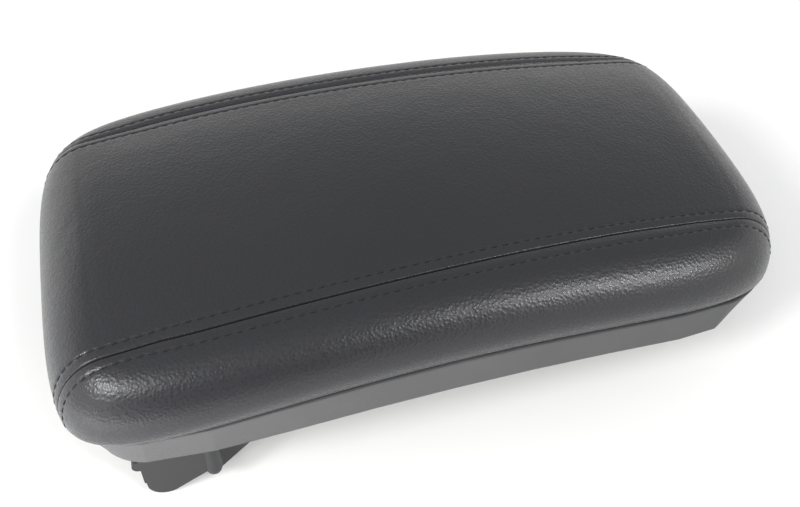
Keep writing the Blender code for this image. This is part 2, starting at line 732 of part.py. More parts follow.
def build_arm(word, side):
    low_y, high_y = between(side, ARM_OUTER_Y, ARM_INNER_Y)
    arm = plate_xz("hinge_arm_" + word, arm_outline(), low_y, high_y)
    foot_y = between(side, ARM_OUTER_Y, ARM_OUTER_Y - ARM_FOOT_WIDTH)
    top = ARM_SEAT_Z - GAP
    foot_low = (ARM_REAR_X, foot_y[0], top - ARM_FOOT_THICKNESS)
    foot_high = (ARM_RIB_X + ARM_RIB_RADIUS, foot_y[1], top)
    join(arm, boxes(word + " foot", [(foot_low, foot_high)]))
    rib_y = side * (ARM_OUTER_Y + ARM_INNER_Y) / 2
    rib_top = top - ARM_FOOT_THICKNESS / 2
    join(arm, domed_peg(word + " rib", ARM_RIB_X, rib_y, ARM_RIB_LOW_Z, rib_top, ARM_RIB_RADIUS))
    boss_y = between(side, ARM_OUTER_Y - ARM_SKIN, ARM_BOSS_Y)
    join(arm, cross_rod(word + " boss", ARM_BOSS_RADIUS, HINGE_X, HINGE_Z, *boss_y, ROUND_SIDES))
    stop_y = between(side, ARM_OUTER_Y - GAP, ARM_INNER_Y + GAP)
    join(arm, cross_rod(word + " stop", ARM_STOP_RADIUS, ARM_REAR_X, ARM_STOP_Z, *stop_y, HOLE_SIDES))
    bore_y = between(side, ARM_OUTER_Y - ARM_SKIN, ARM_BOSS_Y - GAP)
    cut(arm, cross_rod(word + " bore", BUSH_RADIUS + GAP, HINGE_X, HINGE_Z, *bore_y, ROUND_SIDES))
    low = top - ARM_FOOT_THICKNESS - GAP
    holes = [(x, side * ARM_SCREW_Y, low, top + GAP, SCREW_HOLE_RADIUS) for x in ARM_SCREW_X]
    cut(arm, rods(word + " foot holes", holes))
    return finish(arm, "bracket")


def build_arm_screws(word, side):
    length = ARM_SEAT_Z + SCREW_BITE - ARM_SCREW_SEAT_Z
    return [
        screw(f"arm_screw_{word}_{number}", x, side * ARM_SCREW_Y, ARM_SCREW_SEAT_Z, length)
        for number, x in enumerate(ARM_SCREW_X, 1)
    ]


def build_bush(word, side):
    """A flanged sleeve that lines the arm's blind bore."""
    inner = PIN_RADIUS + GAP
    flange = BRACKET_EAR_Y + GAP
    end = ARM_OUTER_Y - ARM_SKIN - GAP
    profile = [
        (inner, end),
        (BUSH_RADIUS, end),
        (BUSH_RADIUS, flange + BUSH_FLANGE),
        (BUSH_FLANGE_RADIUS, flange + BUSH_FLANGE),
        (BUSH_FLANGE_RADIUS, flange),
        (inner, flange),
    ]
    turn = Matrix.Rotation(-side * math.pi / 2, 4, "X")
    bush = turned("pivot_bush_" + word, profile, Matrix.Translation((HINGE_X, 0, HINGE_Z)) @ turn)
    return finish(bush, "bush")


def ear_outline():
    top = arc(HINGE_X, HINGE_Z, BRACKET_EAR_RADIUS, 60, 145, 7)
    tip_x = BRACKET_FRONT_X + BRACKET_TIP_REACH
    return [
        (BRACKET_REAR_X, 0),
        (BRACKET_FRONT_X, 0),
        (tip_x, BRACKET_TIP_REACH),
        (tip_x, BRACKET_TIP_REACH + BRACKET_TIP_DEPTH),
        *top,
    ]


def build_bracket():
    """A channel with its open side up: a floor with two ears, and a low lip along its rear edge."""
    inner = BRACKET_EAR_Y - BRACKET_WALL
    tip_x = BRACKET_FRONT_X + BRACKET_TIP_REACH
    top = HINGE_Z + BRACKET_EAR_RADIUS
    bracket = plate_xz("hinge_bracket", ear_outline(), -BRACKET_EAR_Y, BRACKET_EAR_Y)
    low = (BRACKET_REAR_X + BRACKET_WALL, -inner, BRACKET_WALL)
    cut(bracket, boxes("channel", [(low, (tip_x + GAP, inner, top + GAP))]))
    low = (BRACKET_REAR_X - GAP, -inner, BRACKET_LIP_HEIGHT)
    high = (BRACKET_REAR_X + BRACKET_WALL + GAP, inner, top + 2 * GAP)
    cut(bracket, boxes("channel rear", [(low, high)]))
    bore_y = (-BRACKET_EAR_Y - GAP, BRACKET_EAR_Y + GAP)
    cut(bracket, cross_rod("ear bores", PIN_RADIUS + GAP, HINGE_X, HINGE_Z, *bore_y, ROUND_SIDES))
    holes = [(BRACKET_HOLE_X, y, -GAP, BRACKET_WALL + GAP, BRACKET_HOLE_RADIUS) for y in BRACKET_HOLE_Y]
    cut(bracket, rods("bracket holes", holes))
    return finish(bracket, "bracket")


def build_pin():
    half = ARM_OUTER_Y - ARM_SKIN - 2 * GAP
    return finish(cross_rod("hinge_pin", PIN_RADIUS, HINGE_X, HINGE_Z, -half, half, ROUND_SIDES), "steel")


def build_housing():
    top = LATCH_SEAT_Z - GAP
    width = HOUSING_HALF + HOUSING_EAR
    low = (LATCH_X - HOUSING_REACH, -width, top - HOUSING_PLATE)
    housing = boxes("latch_housing", [(low, (LATCH_X + HOUSING_REACH, width, top))])
    round_end = arc(LATCH_X, LATCH_Z, HOUSING_CHEEK_RADIUS, 180, 360, 10)
    high = top - HOUSING_PLATE / 2
    outline = [(LATCH_X - HOUSING_REACH + GAP, high), *round_end, (LATCH_X + HOUSING_REACH - GAP, high)]
    bore = arc(LATCH_X, LATCH_Z, LATCH_PIN_RADIUS + GAP, 0, 360, HOLE_SIDES)[:-1]
    for word, side in SIDES:
        low_y, high_y = between(side, HOUSING_HALF, HOUSING_HALF - HOUSING_CHEEK)
        join(housing, plate_xz(word + " cheek", outline, low_y, high_y, bore))
    low = top - HOUSING_PLATE - GAP
    holes = [(LATCH_X, side * LATCH_SCREW_Y, low, top + GAP, SCREW_HOLE_RADIUS) for word, side in SIDES]
    cut(housing, rods("housing holes", holes))
    return finish(housing, "bracket")


def build_latch_screws():
    seat = LATCH_SEAT_Z - GAP - HOUSING_PLATE
    length = LATCH_SEAT_Z + SCREW_BITE - seat
    return [
        screw("latch_screw_" + word, LATCH_X, side * LATCH_SCREW_Y, seat, length) for word, side in SIDES
    ]


def build_latch_pin():
    """A headed pin, its head outside the near cheek."""
    head = HOUSING_HALF + GAP
    profile = [
        (0, HOUSING_HALF + LATCH_PIN_HEAD_LENGTH),
        (LATCH_PIN_RADIUS, HOUSING_HALF + LATCH_PIN_HEAD_LENGTH),
        (LATCH_PIN_RADIUS, -head),
        (LATCH_PIN_HEAD_RADIUS, -head),
        (LATCH_PIN_HEAD_RADIUS, -head - LATCH_PIN_HEAD_LENGTH),
        (0, -head - LATCH_PIN_HEAD_LENGTH),
    ]
    place = Matrix.Translation((LATCH_X, 0, LATCH_Z)) @ Matrix.Rotation(-math.pi / 2, 4, "X")
    return finish(turned("latch_pin", profile, place, HOLE_SIDES), "steel")


def paddle_top_z(x):
    share = (x - LATCH_X) / (PADDLE_FRONT_X - LATCH_X)
    return LATCH_Z + PADDLE_RISE * share + PADDLE_THICKNESS / 2


def build_lever():
    """Finger paddle, hub and hook, moulded in one piece."""
    start = LATCH_X + PADDLE_START
    thick = PADDLE_THICKNESS
    paddle = [
        (start, paddle_top_z(start)),
        (start, paddle_top_z(start) - thick),
        (PADDLE_FRONT_X - thick, paddle_top_z(PADDLE_FRONT_X) - thick),
        (PADDLE_FRONT_X - thick / 2, paddle_top_z(PADDLE_FRONT_X) - thick - PADDLE_LIP),
        (PADDLE_FRONT_X, paddle_top_z(PADDLE_FRONT_X) - thick - PADDLE_LIP),
        (PADDLE_FRONT_X, paddle_top_z(PADDLE_FRONT_X)),
    ]
    lever = plate_xz("latch_lever", paddle, -PADDLE_WIDTH / 2, PADDLE_WIDTH / 2)
    half_hub = LEVER_HUB_WIDTH / 2
    web_low = (LATCH_X, -half_hub + GAP, paddle_top_z(LATCH_X) - thick + GAP)
    web_high = (start + thick, half_hub - GAP, paddle_top_z(LATCH_X) - GAP)
    join(lever, boxes("lever web", [(web_low, web_high)]))
    hub_y = (-half_hub, half_hub)
    join(lever, cross_rod("lever hub", LEVER_HUB_RADIUS, LATCH_X, LATCH_Z, *hub_y, ROUND_SIDES))
    front = LATCH_X - HOOK_SETBACK
    rear = front - HOOK_THICKNESS
    hook = [
        (rear, LATCH_Z),
        (rear, HOOK_NOSE_HEIGHT),
        (rear - HOOK_NOSE, HOOK_NOSE_HEIGHT),
        (rear - HOOK_NOSE, HOOK_NOSE_HEIGHT * 0.75),
        (rear, 0),
        (front - HOOK_THICKNESS * 0.2, 0),
        (front, HOOK_THICKNESS * 0.5),
        (front, LATCH_Z),
    ]
    join(lever, plate_xz("lever hook", hook, -HOOK_WIDTH / 2, HOOK_WIDTH / 2))
    bore_y = (-half_hub - GAP, half_hub + GAP)
    cut(lever, cross_rod("lever bore", LATCH_PIN_RADIUS + GAP, LATCH_X, LATCH_Z, *bore_y, HOLE_SIDES))
    return finish(lever, "bracket")


def build_spring():
    """Return spring: a coil round the latch pin, a leg under the housing plate and a leg on the paddle."""
    coil = LATCH_PIN_RADIUS + GAP + SPRING_WIRE_RADIUS
    first_y = LEVER_HUB_WIDTH / 2 + GAP + SPRING_WIRE_RADIUS
    steps = SPRING_SIDES
    plate_z = LATCH_SEAT_Z - GAP - HOUSING_PLATE - GAP - SPRING_WIRE_RADIUS
    last_y = first_y + SPRING_TURNS * SPRING_PITCH
    leg_x = LATCH_X + SPRING_LEG + PADDLE_START / 2
    points = [(LATCH_X - SPRING_LEG, first_y, plate_z)]
    for k in range(SPRING_TURNS * steps + 1):
        turn = math.pi / 2 + 2 * math.pi * k / steps
        y = first_y + SPRING_PITCH * k / steps
        points.append((LATCH_X + coil * math.cos(turn), y, LATCH_Z + coil * math.sin(turn)))
    points.append((leg_x, last_y, paddle_top_z(leg_x) + GAP + SPRING_WIRE_RADIUS))
    curve = bpy.data.curves.new("latch_spring", "CURVE")
    curve.dimensions = "3D"
    curve.bevel_depth = SPRING_WIRE_RADIUS
    curve.bevel_resolution = 2
    curve.use_fill_caps = True
    spline = curve.splines.new("POLY")
    spline.points.add(len(points) - 1)
    for point, place in zip(spline.points, points):
        point.co = (*place, 1)
    spring = bpy.data.objects.new("latch_spring", curve)
    bpy.data.collections[LID].objects.link(spring)
    color, roughness, metallic = FINISHES["steel"]
    curve.materials.append(new_material("latch_spring", color, roughness, metallic))
    return spring


def build_buffers():
    made = []
    for name, (x, y) in buffer_places().items():
        profile = [
            (0, BUFFER_STEM_LENGTH),
            (BUFFER_STEM_RADIUS, BUFFER_STEM_LENGTH),
            (BUFFER_STEM_RADIUS, -GAP),
            (BUFFER_RADIUS, -GAP),
            (BUFFER_RADIUS, -BUFFER_HEIGHT * 0.6),
            (BUFFER_RADIUS * 0.75, -BUFFER_HEIGHT * 0.9),
            (BUFFER_RADIUS * 0.4, -BUFFER_HEIGHT),
            (0, -BUFFER_HEIGHT),
        ]
        place = Matrix.Translation((x, y, buffer_seat_z(x)))
        made.append(finish(turned(name, profile, place, HOLE_SIDES), "rubber"))
    return made


def hang_on(axis, items):
    """Parents pieces to an empty without moving them."""
    bpy.context.view_layer.update()
    for item in items:
        place = item.matrix_world.copy()
        item.parent = axis
        item.matrix_parent_inverse = axis.matrix_world.inverted()
        item.matrix_world = place


def axis_empty(name, x, z):
    empty = bpy.data.objects.new(name, None)
    empty.location = (x, 0, z)
    empty.empty_display_size = 10 * MM
    bpy.data.collections[LID].objects.link(empty)
    bpy.context.view_layer.update()
    return empty


def main():
    clear_scene()
    new_collection(LID, False)
    new_collection(TOOLS, True)
    build_bracket()
    build_pin()
    lid = [*build_cover(), build_foam(), build_carrier(), build_base(), *build_carrier_screws()]
    for word, side in SIDES:
        lid.append(build_arm(word, side))
        lid.extend(build_arm_screws(word, side))
        lid.append(build_bush(word, side))
    lid.extend([build_housing(), *build_latch_screws(), build_latch_pin(), build_spring()])
    lid.extend(build_buffers())
    lever = build_lever()
    hinge_axis = axis_empty("hinge_axis", HINGE_X, HINGE_Z)
    latch_axis = axis_empty("latch_axis", LATCH_X, LATCH_Z)
    hang_on(latch_axis, [lever])
    hang_on(hinge_axis, [*lid, latch_axis])


main()
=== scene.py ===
"""Looks of a center console armrest lid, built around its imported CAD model.

The leather cover and the foam under it are made here as soft pieces, with their seams, stitches and grain.
The moulded and metal parts are the CAD's own and get their materials here. All lengths are in metres.
"""

import json
import math

import bmesh
import bpy
import numpy as np
from mathutils import Euler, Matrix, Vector


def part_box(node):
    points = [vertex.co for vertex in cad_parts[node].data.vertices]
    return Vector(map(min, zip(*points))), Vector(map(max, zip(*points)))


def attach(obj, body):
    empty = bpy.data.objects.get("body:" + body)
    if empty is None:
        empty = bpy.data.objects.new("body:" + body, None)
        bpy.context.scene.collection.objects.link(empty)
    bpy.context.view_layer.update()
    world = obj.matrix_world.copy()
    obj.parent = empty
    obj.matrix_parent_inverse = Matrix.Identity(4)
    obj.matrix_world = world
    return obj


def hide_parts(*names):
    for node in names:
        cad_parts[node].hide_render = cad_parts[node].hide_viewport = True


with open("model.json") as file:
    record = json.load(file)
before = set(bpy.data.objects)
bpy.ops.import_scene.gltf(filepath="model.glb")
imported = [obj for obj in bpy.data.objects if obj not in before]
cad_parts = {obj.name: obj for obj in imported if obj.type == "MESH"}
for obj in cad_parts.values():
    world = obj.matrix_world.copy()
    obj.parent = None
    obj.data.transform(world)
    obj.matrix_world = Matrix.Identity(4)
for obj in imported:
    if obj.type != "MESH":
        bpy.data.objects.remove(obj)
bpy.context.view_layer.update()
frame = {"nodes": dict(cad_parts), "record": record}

bl_info = {
    "name": "Armrest lid looks",
    "version": (1, 0, 0),
    "blender": (4, 5, 0),
    "location": "3D View > Sidebar > Armrest",
    "description": "Builds the leather cover, the materials and the studio of an armrest lid",
    "category": "Object",
}

MM = 0.001
COVER_LOW, COVER_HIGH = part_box("cover_centre_panel")
LID = "lid"
SIDES = (("near", -1), ("far", 1))
SEED = 7


class PadSizes(bpy.types.PropertyGroup):
    """The padded top's form, which follows the CAD solids'."""

    length: bpy.props.FloatProperty(
        name="Length",
        description="Rear end to front end",
        default=COVER_HIGH.x - COVER_LOW.x,
        subtype="DISTANCE",
    )
    width: bpy.props.FloatProperty(
        name="Width", description="Side to side at mid-length", default=174.8 * MM, subtype="DISTANCE"
    )
    corner_front: bpy.props.FloatProperty(
        name="Front corners",
        description="Squareness of the front half's outline seen from above, the power of a superellipse",
        default=5.2,
    )
    corner_rear: bpy.props.FloatProperty(
        name="Rear corners", description="Squareness of the rear half's outline", default=6.0
    )
    corner_fade: bpy.props.FloatProperty(
        name="Corner fade", description="How soon the lines inside the outline run straight again", default=4
    )
    taper: bpy.props.FloatProperty(
        name="Taper",
        description="Share of the half width that the front end is narrower by",
        default=0.045,
        subtype="FACTOR",
    )
    edge_height: bpy.props.FloatProperty(
        name="Edge height",
        description="Ground to the pad's lower edge at both ends",
        default=45 * MM,
        subtype="DISTANCE",
    )
    pad_height: bpy.props.FloatProperty(
        name="Pad height",
        description="Lower edge at the ends to the crown",
        default=51.3 * MM,
        subtype="DISTANCE",
    )
    fall_long: bpy.props.FloatProperty(
        name="Fall to the ends",
        description="How far the crown comes down towards both ends",
        default=13.6 * MM,
        subtype="DISTANCE",
    )
    fall_wide: bpy.props.FloatProperty(
        name="Fall to the sides",
        description="How far the crown comes down towards both sides",
        default=11.1 * MM,
        subtype="DISTANCE",
    )
    shoulder_side: bpy.props.FloatProperty(
        name="Side shoulder",
        description="Width of the rounding along the sides",
        default=17 * MM,
        subtype="DISTANCE",
    )
    shoulder_end: bpy.props.FloatProperty(
        name="End shoulder",
        description="Width of the rounding across the ends",
        default=21 * MM,
        subtype="DISTANCE",
    )
    waist_side: bpy.props.FloatProperty(
        name="Side waist",
        description="Lower edge to the widest line along the sides",
        default=8.5 * MM,
        subtype="DISTANCE",
    )
    waist_end: bpy.props.FloatProperty(
        name="End waist",
        description="Lower edge to the widest line across the ends",
        default=6 * MM,
        subtype="DISTANCE",
    )
    tuck: bpy.props.FloatProperty(
        name="Tuck",
        description="How far the lower edge lies inside the widest line",
        default=2.5 * MM,
        subtype="DISTANCE",
    )
    lift: bpy.props.FloatProperty(
        name="Lift",
        description="Shadow line's extra width, by which the leather's fold stands off the base",
        default=0.8 * MM,
        subtype="DISTANCE",
    )
    arch: bpy.props.FloatProperty(
        name="Arch", description="Rise of the lower edge at mid-length", default=16.4 * MM, subtype="DISTANCE"
    )
    hem: bpy.props.FloatProperty(
        name="Hem", description="Leather turned in under the pad", default=8 * MM, subtype="DISTANCE"
    )
    edge_roll: bpy.props.FloatProperty(
        name="Edge roll",
        description="Radius at which the leather turns in at its lower edge",
        default=1.2 * MM,
        subtype="DISTANCE",
    )
    leather: bpy.props.FloatProperty(
        name="Leather",
        description="Thickness of the cover, which is pared thin to fold under the carrier",
        default=0.4 * MM,
        subtype="DISTANCE",
    )


class SeamSizes(bpy.types.PropertyGroup):
    """The two sewn seams and their stitch rows."""

    inset: bpy.props.FloatProperty(
        name="Seam inset",
        description="Seam to the pad's side at mid-length",
        default=25.6 * MM,
        subtype="DISTANCE",
    )
    row: bpy.props.FloatProperty(
        name="Stitch row",
        description="Seam to the stitch row on either side of it",
        default=4.8 * MM,
        subtype="DISTANCE",
    )
    pitch: bpy.props.FloatProperty(
        name="Stitch pitch", description="Needle hole to needle hole", default=4.6 * MM, subtype="DISTANCE"
    )
    thread: bpy.props.FloatProperty(
        name="Thread", description="Radius of the thread", default=0.27 * MM, subtype="DISTANCE"
    )
    valley: bpy.props.FloatProperty(
        name="Valley",
        description="Depth of the fold where two panels meet",
        default=1.15 * MM,
        subtype="DISTANCE",
    )
    groove: bpy.props.FloatProperty(
        name="Groove",
        description="How deep a stitch row pulls the leather in",
        default=0.17 * MM,
        subtype="DISTANCE",
    )
    pucker: bpy.props.FloatProperty(
        name="Pucker",
        description="How much deeper the leather goes at each needle hole",
        default=0.1 * MM,
        subtype="DISTANCE",
    )


class ClothSettings(bpy.types.PropertyGroup):
    """The cloth simulation that puffs the foam out between its seams."""

    cell: bpy.props.FloatProperty(
        name="Cell", description="Size of the simulated mesh's faces", default=5 * MM, subtype="DISTANCE"
    )
    pressure: bpy.props.FloatProperty(
        name="Pressure", description="Push of the foam on its skin", default=60
    )
    frames: bpy.props.IntProperty(
        name="Frames", description="Length of the simulation", default=20
    )
    start_inset: bpy.props.FloatProperty(
        name="Start inset",
        description="How much smaller the skin starts, because the pressure swells it",
        default=0.3 * MM,
        subtype="DISTANCE",
    )
    cap: bpy.props.FloatProperty(
        name="Cap", description="The furthest that a point may move", default=1.4 * MM, subtype="DISTANCE"
    )


class FinishColors(bpy.types.PropertyGroup):
    """Colours as sRGB hex values."""

    leather: bpy.props.StringProperty(
        name="Leather", description="Colour of the coated leather", default="#212124"
    )
    thread: bpy.props.StringProperty(
        name="Thread", description="Colour of the sewing thread", default="#151517"
    )
    base: bpy.props.StringProperty(
        name="Base", description="Colour of the moulded base", default="#4A4A4B"
    )
    # Fold: a painted highlight. It is the pale line where the leather rolls under at its lower edge, painted
    # into the leather's colour.
    fold: bpy.props.StringProperty(
        name="Fold",
        description="Colour of the leather where its lower fold is stretched and rubbed",
        default="#77777A",
    )
    # Bracket: partly the mouldings' own dark colour, and partly painted shade. It is made darker for the
    # hinge plate, which sits in shade under the base.
    bracket: bpy.props.StringProperty(
        name="Bracket", description="Colour of the hinge and latch mouldings", default="#242426"
    )
    floor: bpy.props.StringProperty(
        name="Floor", description="Colour of the floor", default="#EFEFED"
    )


class ArmrestSettings(bpy.types.PropertyGroup):
    """All the sizes and colours that the operators read."""

    pad: bpy.props.PointerProperty(type=PadSizes)
    seam: bpy.props.PointerProperty(type=SeamSizes)
    cloth: bpy.props.PointerProperty(type=ClothSettings)
    colors: bpy.props.PointerProperty(type=FinishColors)


def settings():
    return bpy.context.scene.armrest


# Form of the pad

TUCK_POWER = 4  # the wall runs straight down and turns in only near its lower edge
ARC_STRETCH = 1.25  # the shoulder is deeper than it is wide
AT_RIM = 0.99999  # a point of the unit square past this lies on its rim
WALL_ROWS = (0.8, 0.6, 0.42, 0.28, 0.18, 0.1, 0.045, 0.012, 0, -0.35, -1)
CLOTH_ROWS = (0.6, 0.25, 0, -1)

# Lines on either side of a seam, close where the leather folds and where the stitches pull it in
SEAM_STEPS_MM = (0.05, 0.12, 0.21, 0.32, 0.46, 0.66, 1, 1.5, 2.2, 3, 3.7, 4.15, 4.5, 4.8, 5.1, 5.45, 5.9, 6.6)
SEAM_TAIL_MM = (7.6, 9, 11, 13.5)
NEXT_LINE_GAP = 0.004  # least room after the last of those lines, as a share of the half width

# Sewn seams wander: how far outwards the near one runs, from the rear end to the front
SEAM_DRIFT_MM = (0.1, 1.45, 0.85, 0.6, 0.2, -0.5, -0.7, 0.9, 1.4)
FAR_DRIFT_SHARE = 0.5

CENTRE_STEP = 4 * MM
SIDE_STEP = 2 * MM
LONG_STEP = 1.15 * MM
FEWEST_SHOULDER_LINES = 4
FOAM_SHOULDER_LINES = 5


def outline_pull(u, v):
    """How far a point of the unit square is drawn in, so that the square's rim lands on the superellipse."""
    large = np.maximum(np.abs(u), np.abs(v))
    small = np.minimum(np.abs(u), np.abs(v))
    share = np.divide(small, large, out=np.zeros_like(large), where=large > 0)
    power = corner_power(u)
    at_rim = (1 + share**power) ** (-1 / power)
    return 1 - (1 - at_rim) * large ** settings().pad.corner_fade


def corner_power(along):
    """Squareness of the outline: the front corners are rounder than the rear ones."""
    pad = settings().pad
    return np.where(along > 0, pad.corner_front, pad.corner_rear)


def seam_drift(u, v):
    """How far the sewing drew the lines off their straight run, as a share of the half width."""
    place = (np.clip(u, -1, 1) + 1) / 2 * (len(SEAM_DRIFT_MM) - 1)
    base = np.floor(place).astype(int)
    weights = cubic_weights(place - base)
    stations = np.array(SEAM_DRIFT_MM) * MM
    drift = sum(weights[i] * stations[np.clip(base + i - 1, 0, len(stations) - 1)] for i in range(4))
    line = seam_share()
    size = np.abs(v)
    here = np.where(size < line, (size / line) ** 2, (1 - size) / (1 - line))
    side = np.where(v < 0, -1, FAR_DRIFT_SHARE)
    return drift * here * side / (settings().pad.width / 2)


def plan_point(u, v, inset):
    """X and Y for (u, v), both from -1 to 1."""
    pad = settings().pad
    v = v + seam_drift(u, v)
    pull = outline_pull(u, v)
    x = (pad.length / 2 - inset) * u * pull
    narrowing = 1 - pad.taper * x / (pad.length / 2)
    return x, (pad.width / 2 - inset) * v * pull * narrowing


def edge_z(x):
    """Height of the pad's lower edge."""
    pad = settings().pad
    return pad.edge_height + pad.arch * (1 - (x / (pad.length / 2)) ** 2)


def rim_distance(x, y, inset):
    """Distance in from the plan outline, and how far the outline faces along X there, from 0 to 1."""
    pad = settings().pad
    power = corner_power(x)
    half_length = pad.length / 2 - inset
    half_width = (pad.width / 2 - inset) * (1 - pad.taper * x / (pad.length / 2))
    across = np.abs(x) / half_length
    along = np.abs(y) / half_width
    reach = np.maximum((across**power + along**power) ** (1 / power), 1e-6)
    slope_x = (across / reach) ** (power - 1) / half_length
    slope_y = (along / reach) ** (power - 1) / half_width
    steep = np.hypot(slope_x, slope_y)
    return np.maximum(0, (1 - reach) / steep), (slope_x / steep) ** 2


def waist_z(x, end_share):
    """Height of the widest line."""
    pad = settings().pad
    return edge_z(x) + pad.waist_side * (1 - end_share) + pad.waist_end * end_share


def top_point(u, v, inset):
    """Points of the padded top, or of a skin that lies inside it by inset."""
    pad = settings().pad
    x, y = plan_point(u, v, inset)
    distance, end_share = rim_distance(x, y, inset)
    reach = pad.shoulder_side * (1 - end_share) + pad.shoulder_end * end_share - inset
    fall = pad.fall_long * (2 * x / pad.length) ** 2 + pad.fall_wide * (2 * y / pad.width) ** 2
    crown = pad.edge_height + pad.pad_height - fall - inset
    into = np.clip(1 - distance / reach, 0, 1)
    z = crown - (crown - waist_z(x, end_share)) * (1 - np.sqrt(1 - into**2))
    return np.stack([x, y, z], axis=-1)


def wall_point(u, v, share, inset):
    """Points of the wall: share 1 is the widest line, 0 the lower edge, and -1 the hem's inner edge."""
    pad = settings().pad
    wide_x, wide_y = plan_point(u, v, inset)
    end_share = rim_distance(wide_x, wide_y, inset)[1]
    low = edge_z(wide_x)
    down = np.clip(share, 0, 1)
    tuck = pad.tuck * (1 - down) ** TUCK_POWER
    height = low + down * (waist_z(wide_x, end_share) - low)
    roll = np.clip((pad.edge_roll - (height - low)) / pad.edge_roll, 0, 1)
    tuck = tuck + pad.edge_roll * (1 - np.sqrt(1 - roll**2))
    under = np.clip(-share, 0, 1)
    x, y = plan_point(u, v, inset + tuck + under * (pad.hem - pad.edge_roll))
    lift = (pad.lift + min(inset, pad.edge_roll)) * (1 - down)
    return np.stack([x, y, height + lift], axis=-1)


def seam_share():
    """Where the seams run, as a share of the half width."""
    return 1 - settings().seam.inset / (settings().pad.width / 2)


def shoulder_lines(edge, count):
    """Lines over a shoulder that takes the given share: even along its arc, and ending at 1."""
    turns = np.linspace(0, math.pi / 2, count + 1)
    return 1 - edge * (1 - np.sin(turns))


def long_lines(step):
    """Lines along the lid from -1 to 1."""
    pad = settings().pad
    edge = pad.shoulder_end / (pad.length / 2)
    arc = pad.shoulder_end * math.pi / 2 * ARC_STRETCH
    shoulder = shoulder_lines(edge, max(FEWEST_SHOULDER_LINES, round(arc / step)))
    count = round((1 - edge) * pad.length / step)
    middle = np.linspace(-(1 - edge), 1 - edge, count + 1)[1:-1]
    return np.concatenate([-shoulder[::-1], middle, shoulder])


def side_lines(step):
    """Lines across a side panel, from its seam out to the rim."""
    half = settings().pad.width / 2
    start = seam_share()
    near = [start + step_mm * MM / half for step_mm in SEAM_STEPS_MM + SEAM_TAIL_MM[:1]]
    edge = settings().pad.shoulder_side / half
    arc = settings().pad.shoulder_side * math.pi / 2 * ARC_STRETCH
    shoulder = shoulder_lines(edge, max(FEWEST_SHOULDER_LINES, round(arc / step)))
    return np.array(near + [line for line in shoulder if line > near[-1] + NEXT_LINE_GAP])


def centre_lines(step):
    """Lines across the centre panel, from seam to seam."""
    half = settings().pad.width / 2
    start = seam_share()
    near = [start - step_mm * MM / half for step_mm in SEAM_STEPS_MM + SEAM_TAIL_MM]
    count = round(2 * near[-1] * half / step)
    middle = np.linspace(-near[-1], near[-1], count + 1)[1:-1]
    return np.concatenate([-np.array(near), middle, np.array(near[::-1])])


# Soft pieces


def add_object(name, data):
    item = bpy.data.objects.new(name, data)
    bpy.context.scene.collection.objects.link(item)
    return item


def deselect_all():
    if bpy.context.object and bpy.context.object.mode != "OBJECT":
        bpy.ops.object.mode_set(mode="OBJECT")
    bpy.ops.object.select_all(action="DESELECT")


def make_active(item):
    deselect_all()
    item.select_set(True)
    bpy.context.view_layer.objects.active = item


def read_points(mesh, what="co"):
    values = np.zeros(len(mesh.vertices) * 3)
    if what == "co":
        mesh.vertices.foreach_get("co", values)
    else:
        mesh.vertex_normals.foreach_get("vector", values)
    return values.reshape(-1, 3)


def write_points(mesh, points):
    mesh.vertices.foreach_set("co", points.ravel())
    mesh.update()


def read_value(mesh, name):
    values = np.zeros(len(mesh.vertices))
    mesh.attributes[name].data.foreach_get("value", values)
    return values


def write_value(mesh, name, values):
    layer = mesh.attributes.get(name) or mesh.attributes.new(name, "FLOAT", "POINT")
    layer.data.foreach_set("value", values.astype(np.float32))


def sheet_on_form(name, lines_u, lines_v, rows):
    """A grid whose points know their place on the pad, with its rim extruded down the wall row by row.

    The points' attributes along_u, along_v and wall hold that place. The shape comes later.
    """
    deselect_all()
    bpy.ops.mesh.primitive_grid_add(x_subdivisions=len(lines_u) - 1, y_subdivisions=len(lines_v) - 1, size=2)
    sheet = bpy.context.object
    sheet.name = name
    sheet.data.name = name
    mesh = sheet.data
    flat = read_points(mesh)
    columns = np.rint((flat[:, 0] + 1) / 2 * (len(lines_u) - 1)).astype(int)
    lines = np.rint((flat[:, 1] + 1) / 2 * (len(lines_v) - 1)).astype(int)
    write_value(mesh, "along_u", np.asarray(lines_u)[columns])
    write_value(mesh, "along_v", np.asarray(lines_v)[lines])
    write_value(mesh, "wall", np.ones(len(flat)))
    bpy.ops.object.mode_set(mode="EDIT")
    bpy.ops.mesh.select_mode(type="EDGE")
    for row in rows:
        form = bmesh.from_edit_mesh(mesh)
        keep_u = form.verts.layers.float["along_u"]
        keep_v = form.verts.layers.float["along_v"]
        wall = form.verts.layers.float["wall"]
        last = min(vert[wall] for vert in form.verts)
        for face in form.faces:
            face.select_set(False)
        for edge in form.edges:
            a, b = edge.verts
            at_end = min(abs(a[keep_u]), abs(b[keep_u])) > AT_RIM
            at_side = min(abs(a[keep_v]), abs(b[keep_v])) > AT_RIM
            lowest = max(a[wall], b[wall]) < last + 1e-6
            edge.select_set(edge.is_boundary and lowest and (at_end or at_side))
        bmesh.update_edit_mesh(mesh)
        bpy.ops.mesh.extrude_edges_move()
        form = bmesh.from_edit_mesh(mesh)
        wall = form.verts.layers.float["wall"]
        for vert in form.verts:
            if vert.select:
                vert[wall] = row
        bmesh.update_edit_mesh(mesh)
    bpy.ops.object.mode_set(mode="OBJECT")
    return sheet


def form_points(mesh, inset):
    """Where each point of a sheet_on_form mesh lies on the pad."""
    u = read_value(mesh, "along_u")
    v = read_value(mesh, "along_v")
    wall = read_value(mesh, "wall")
    on_top = (wall > 1 - 1e-6)[:, None]
    return np.where(on_top, top_point(u, v, inset), wall_point(u, v, wall, inset))


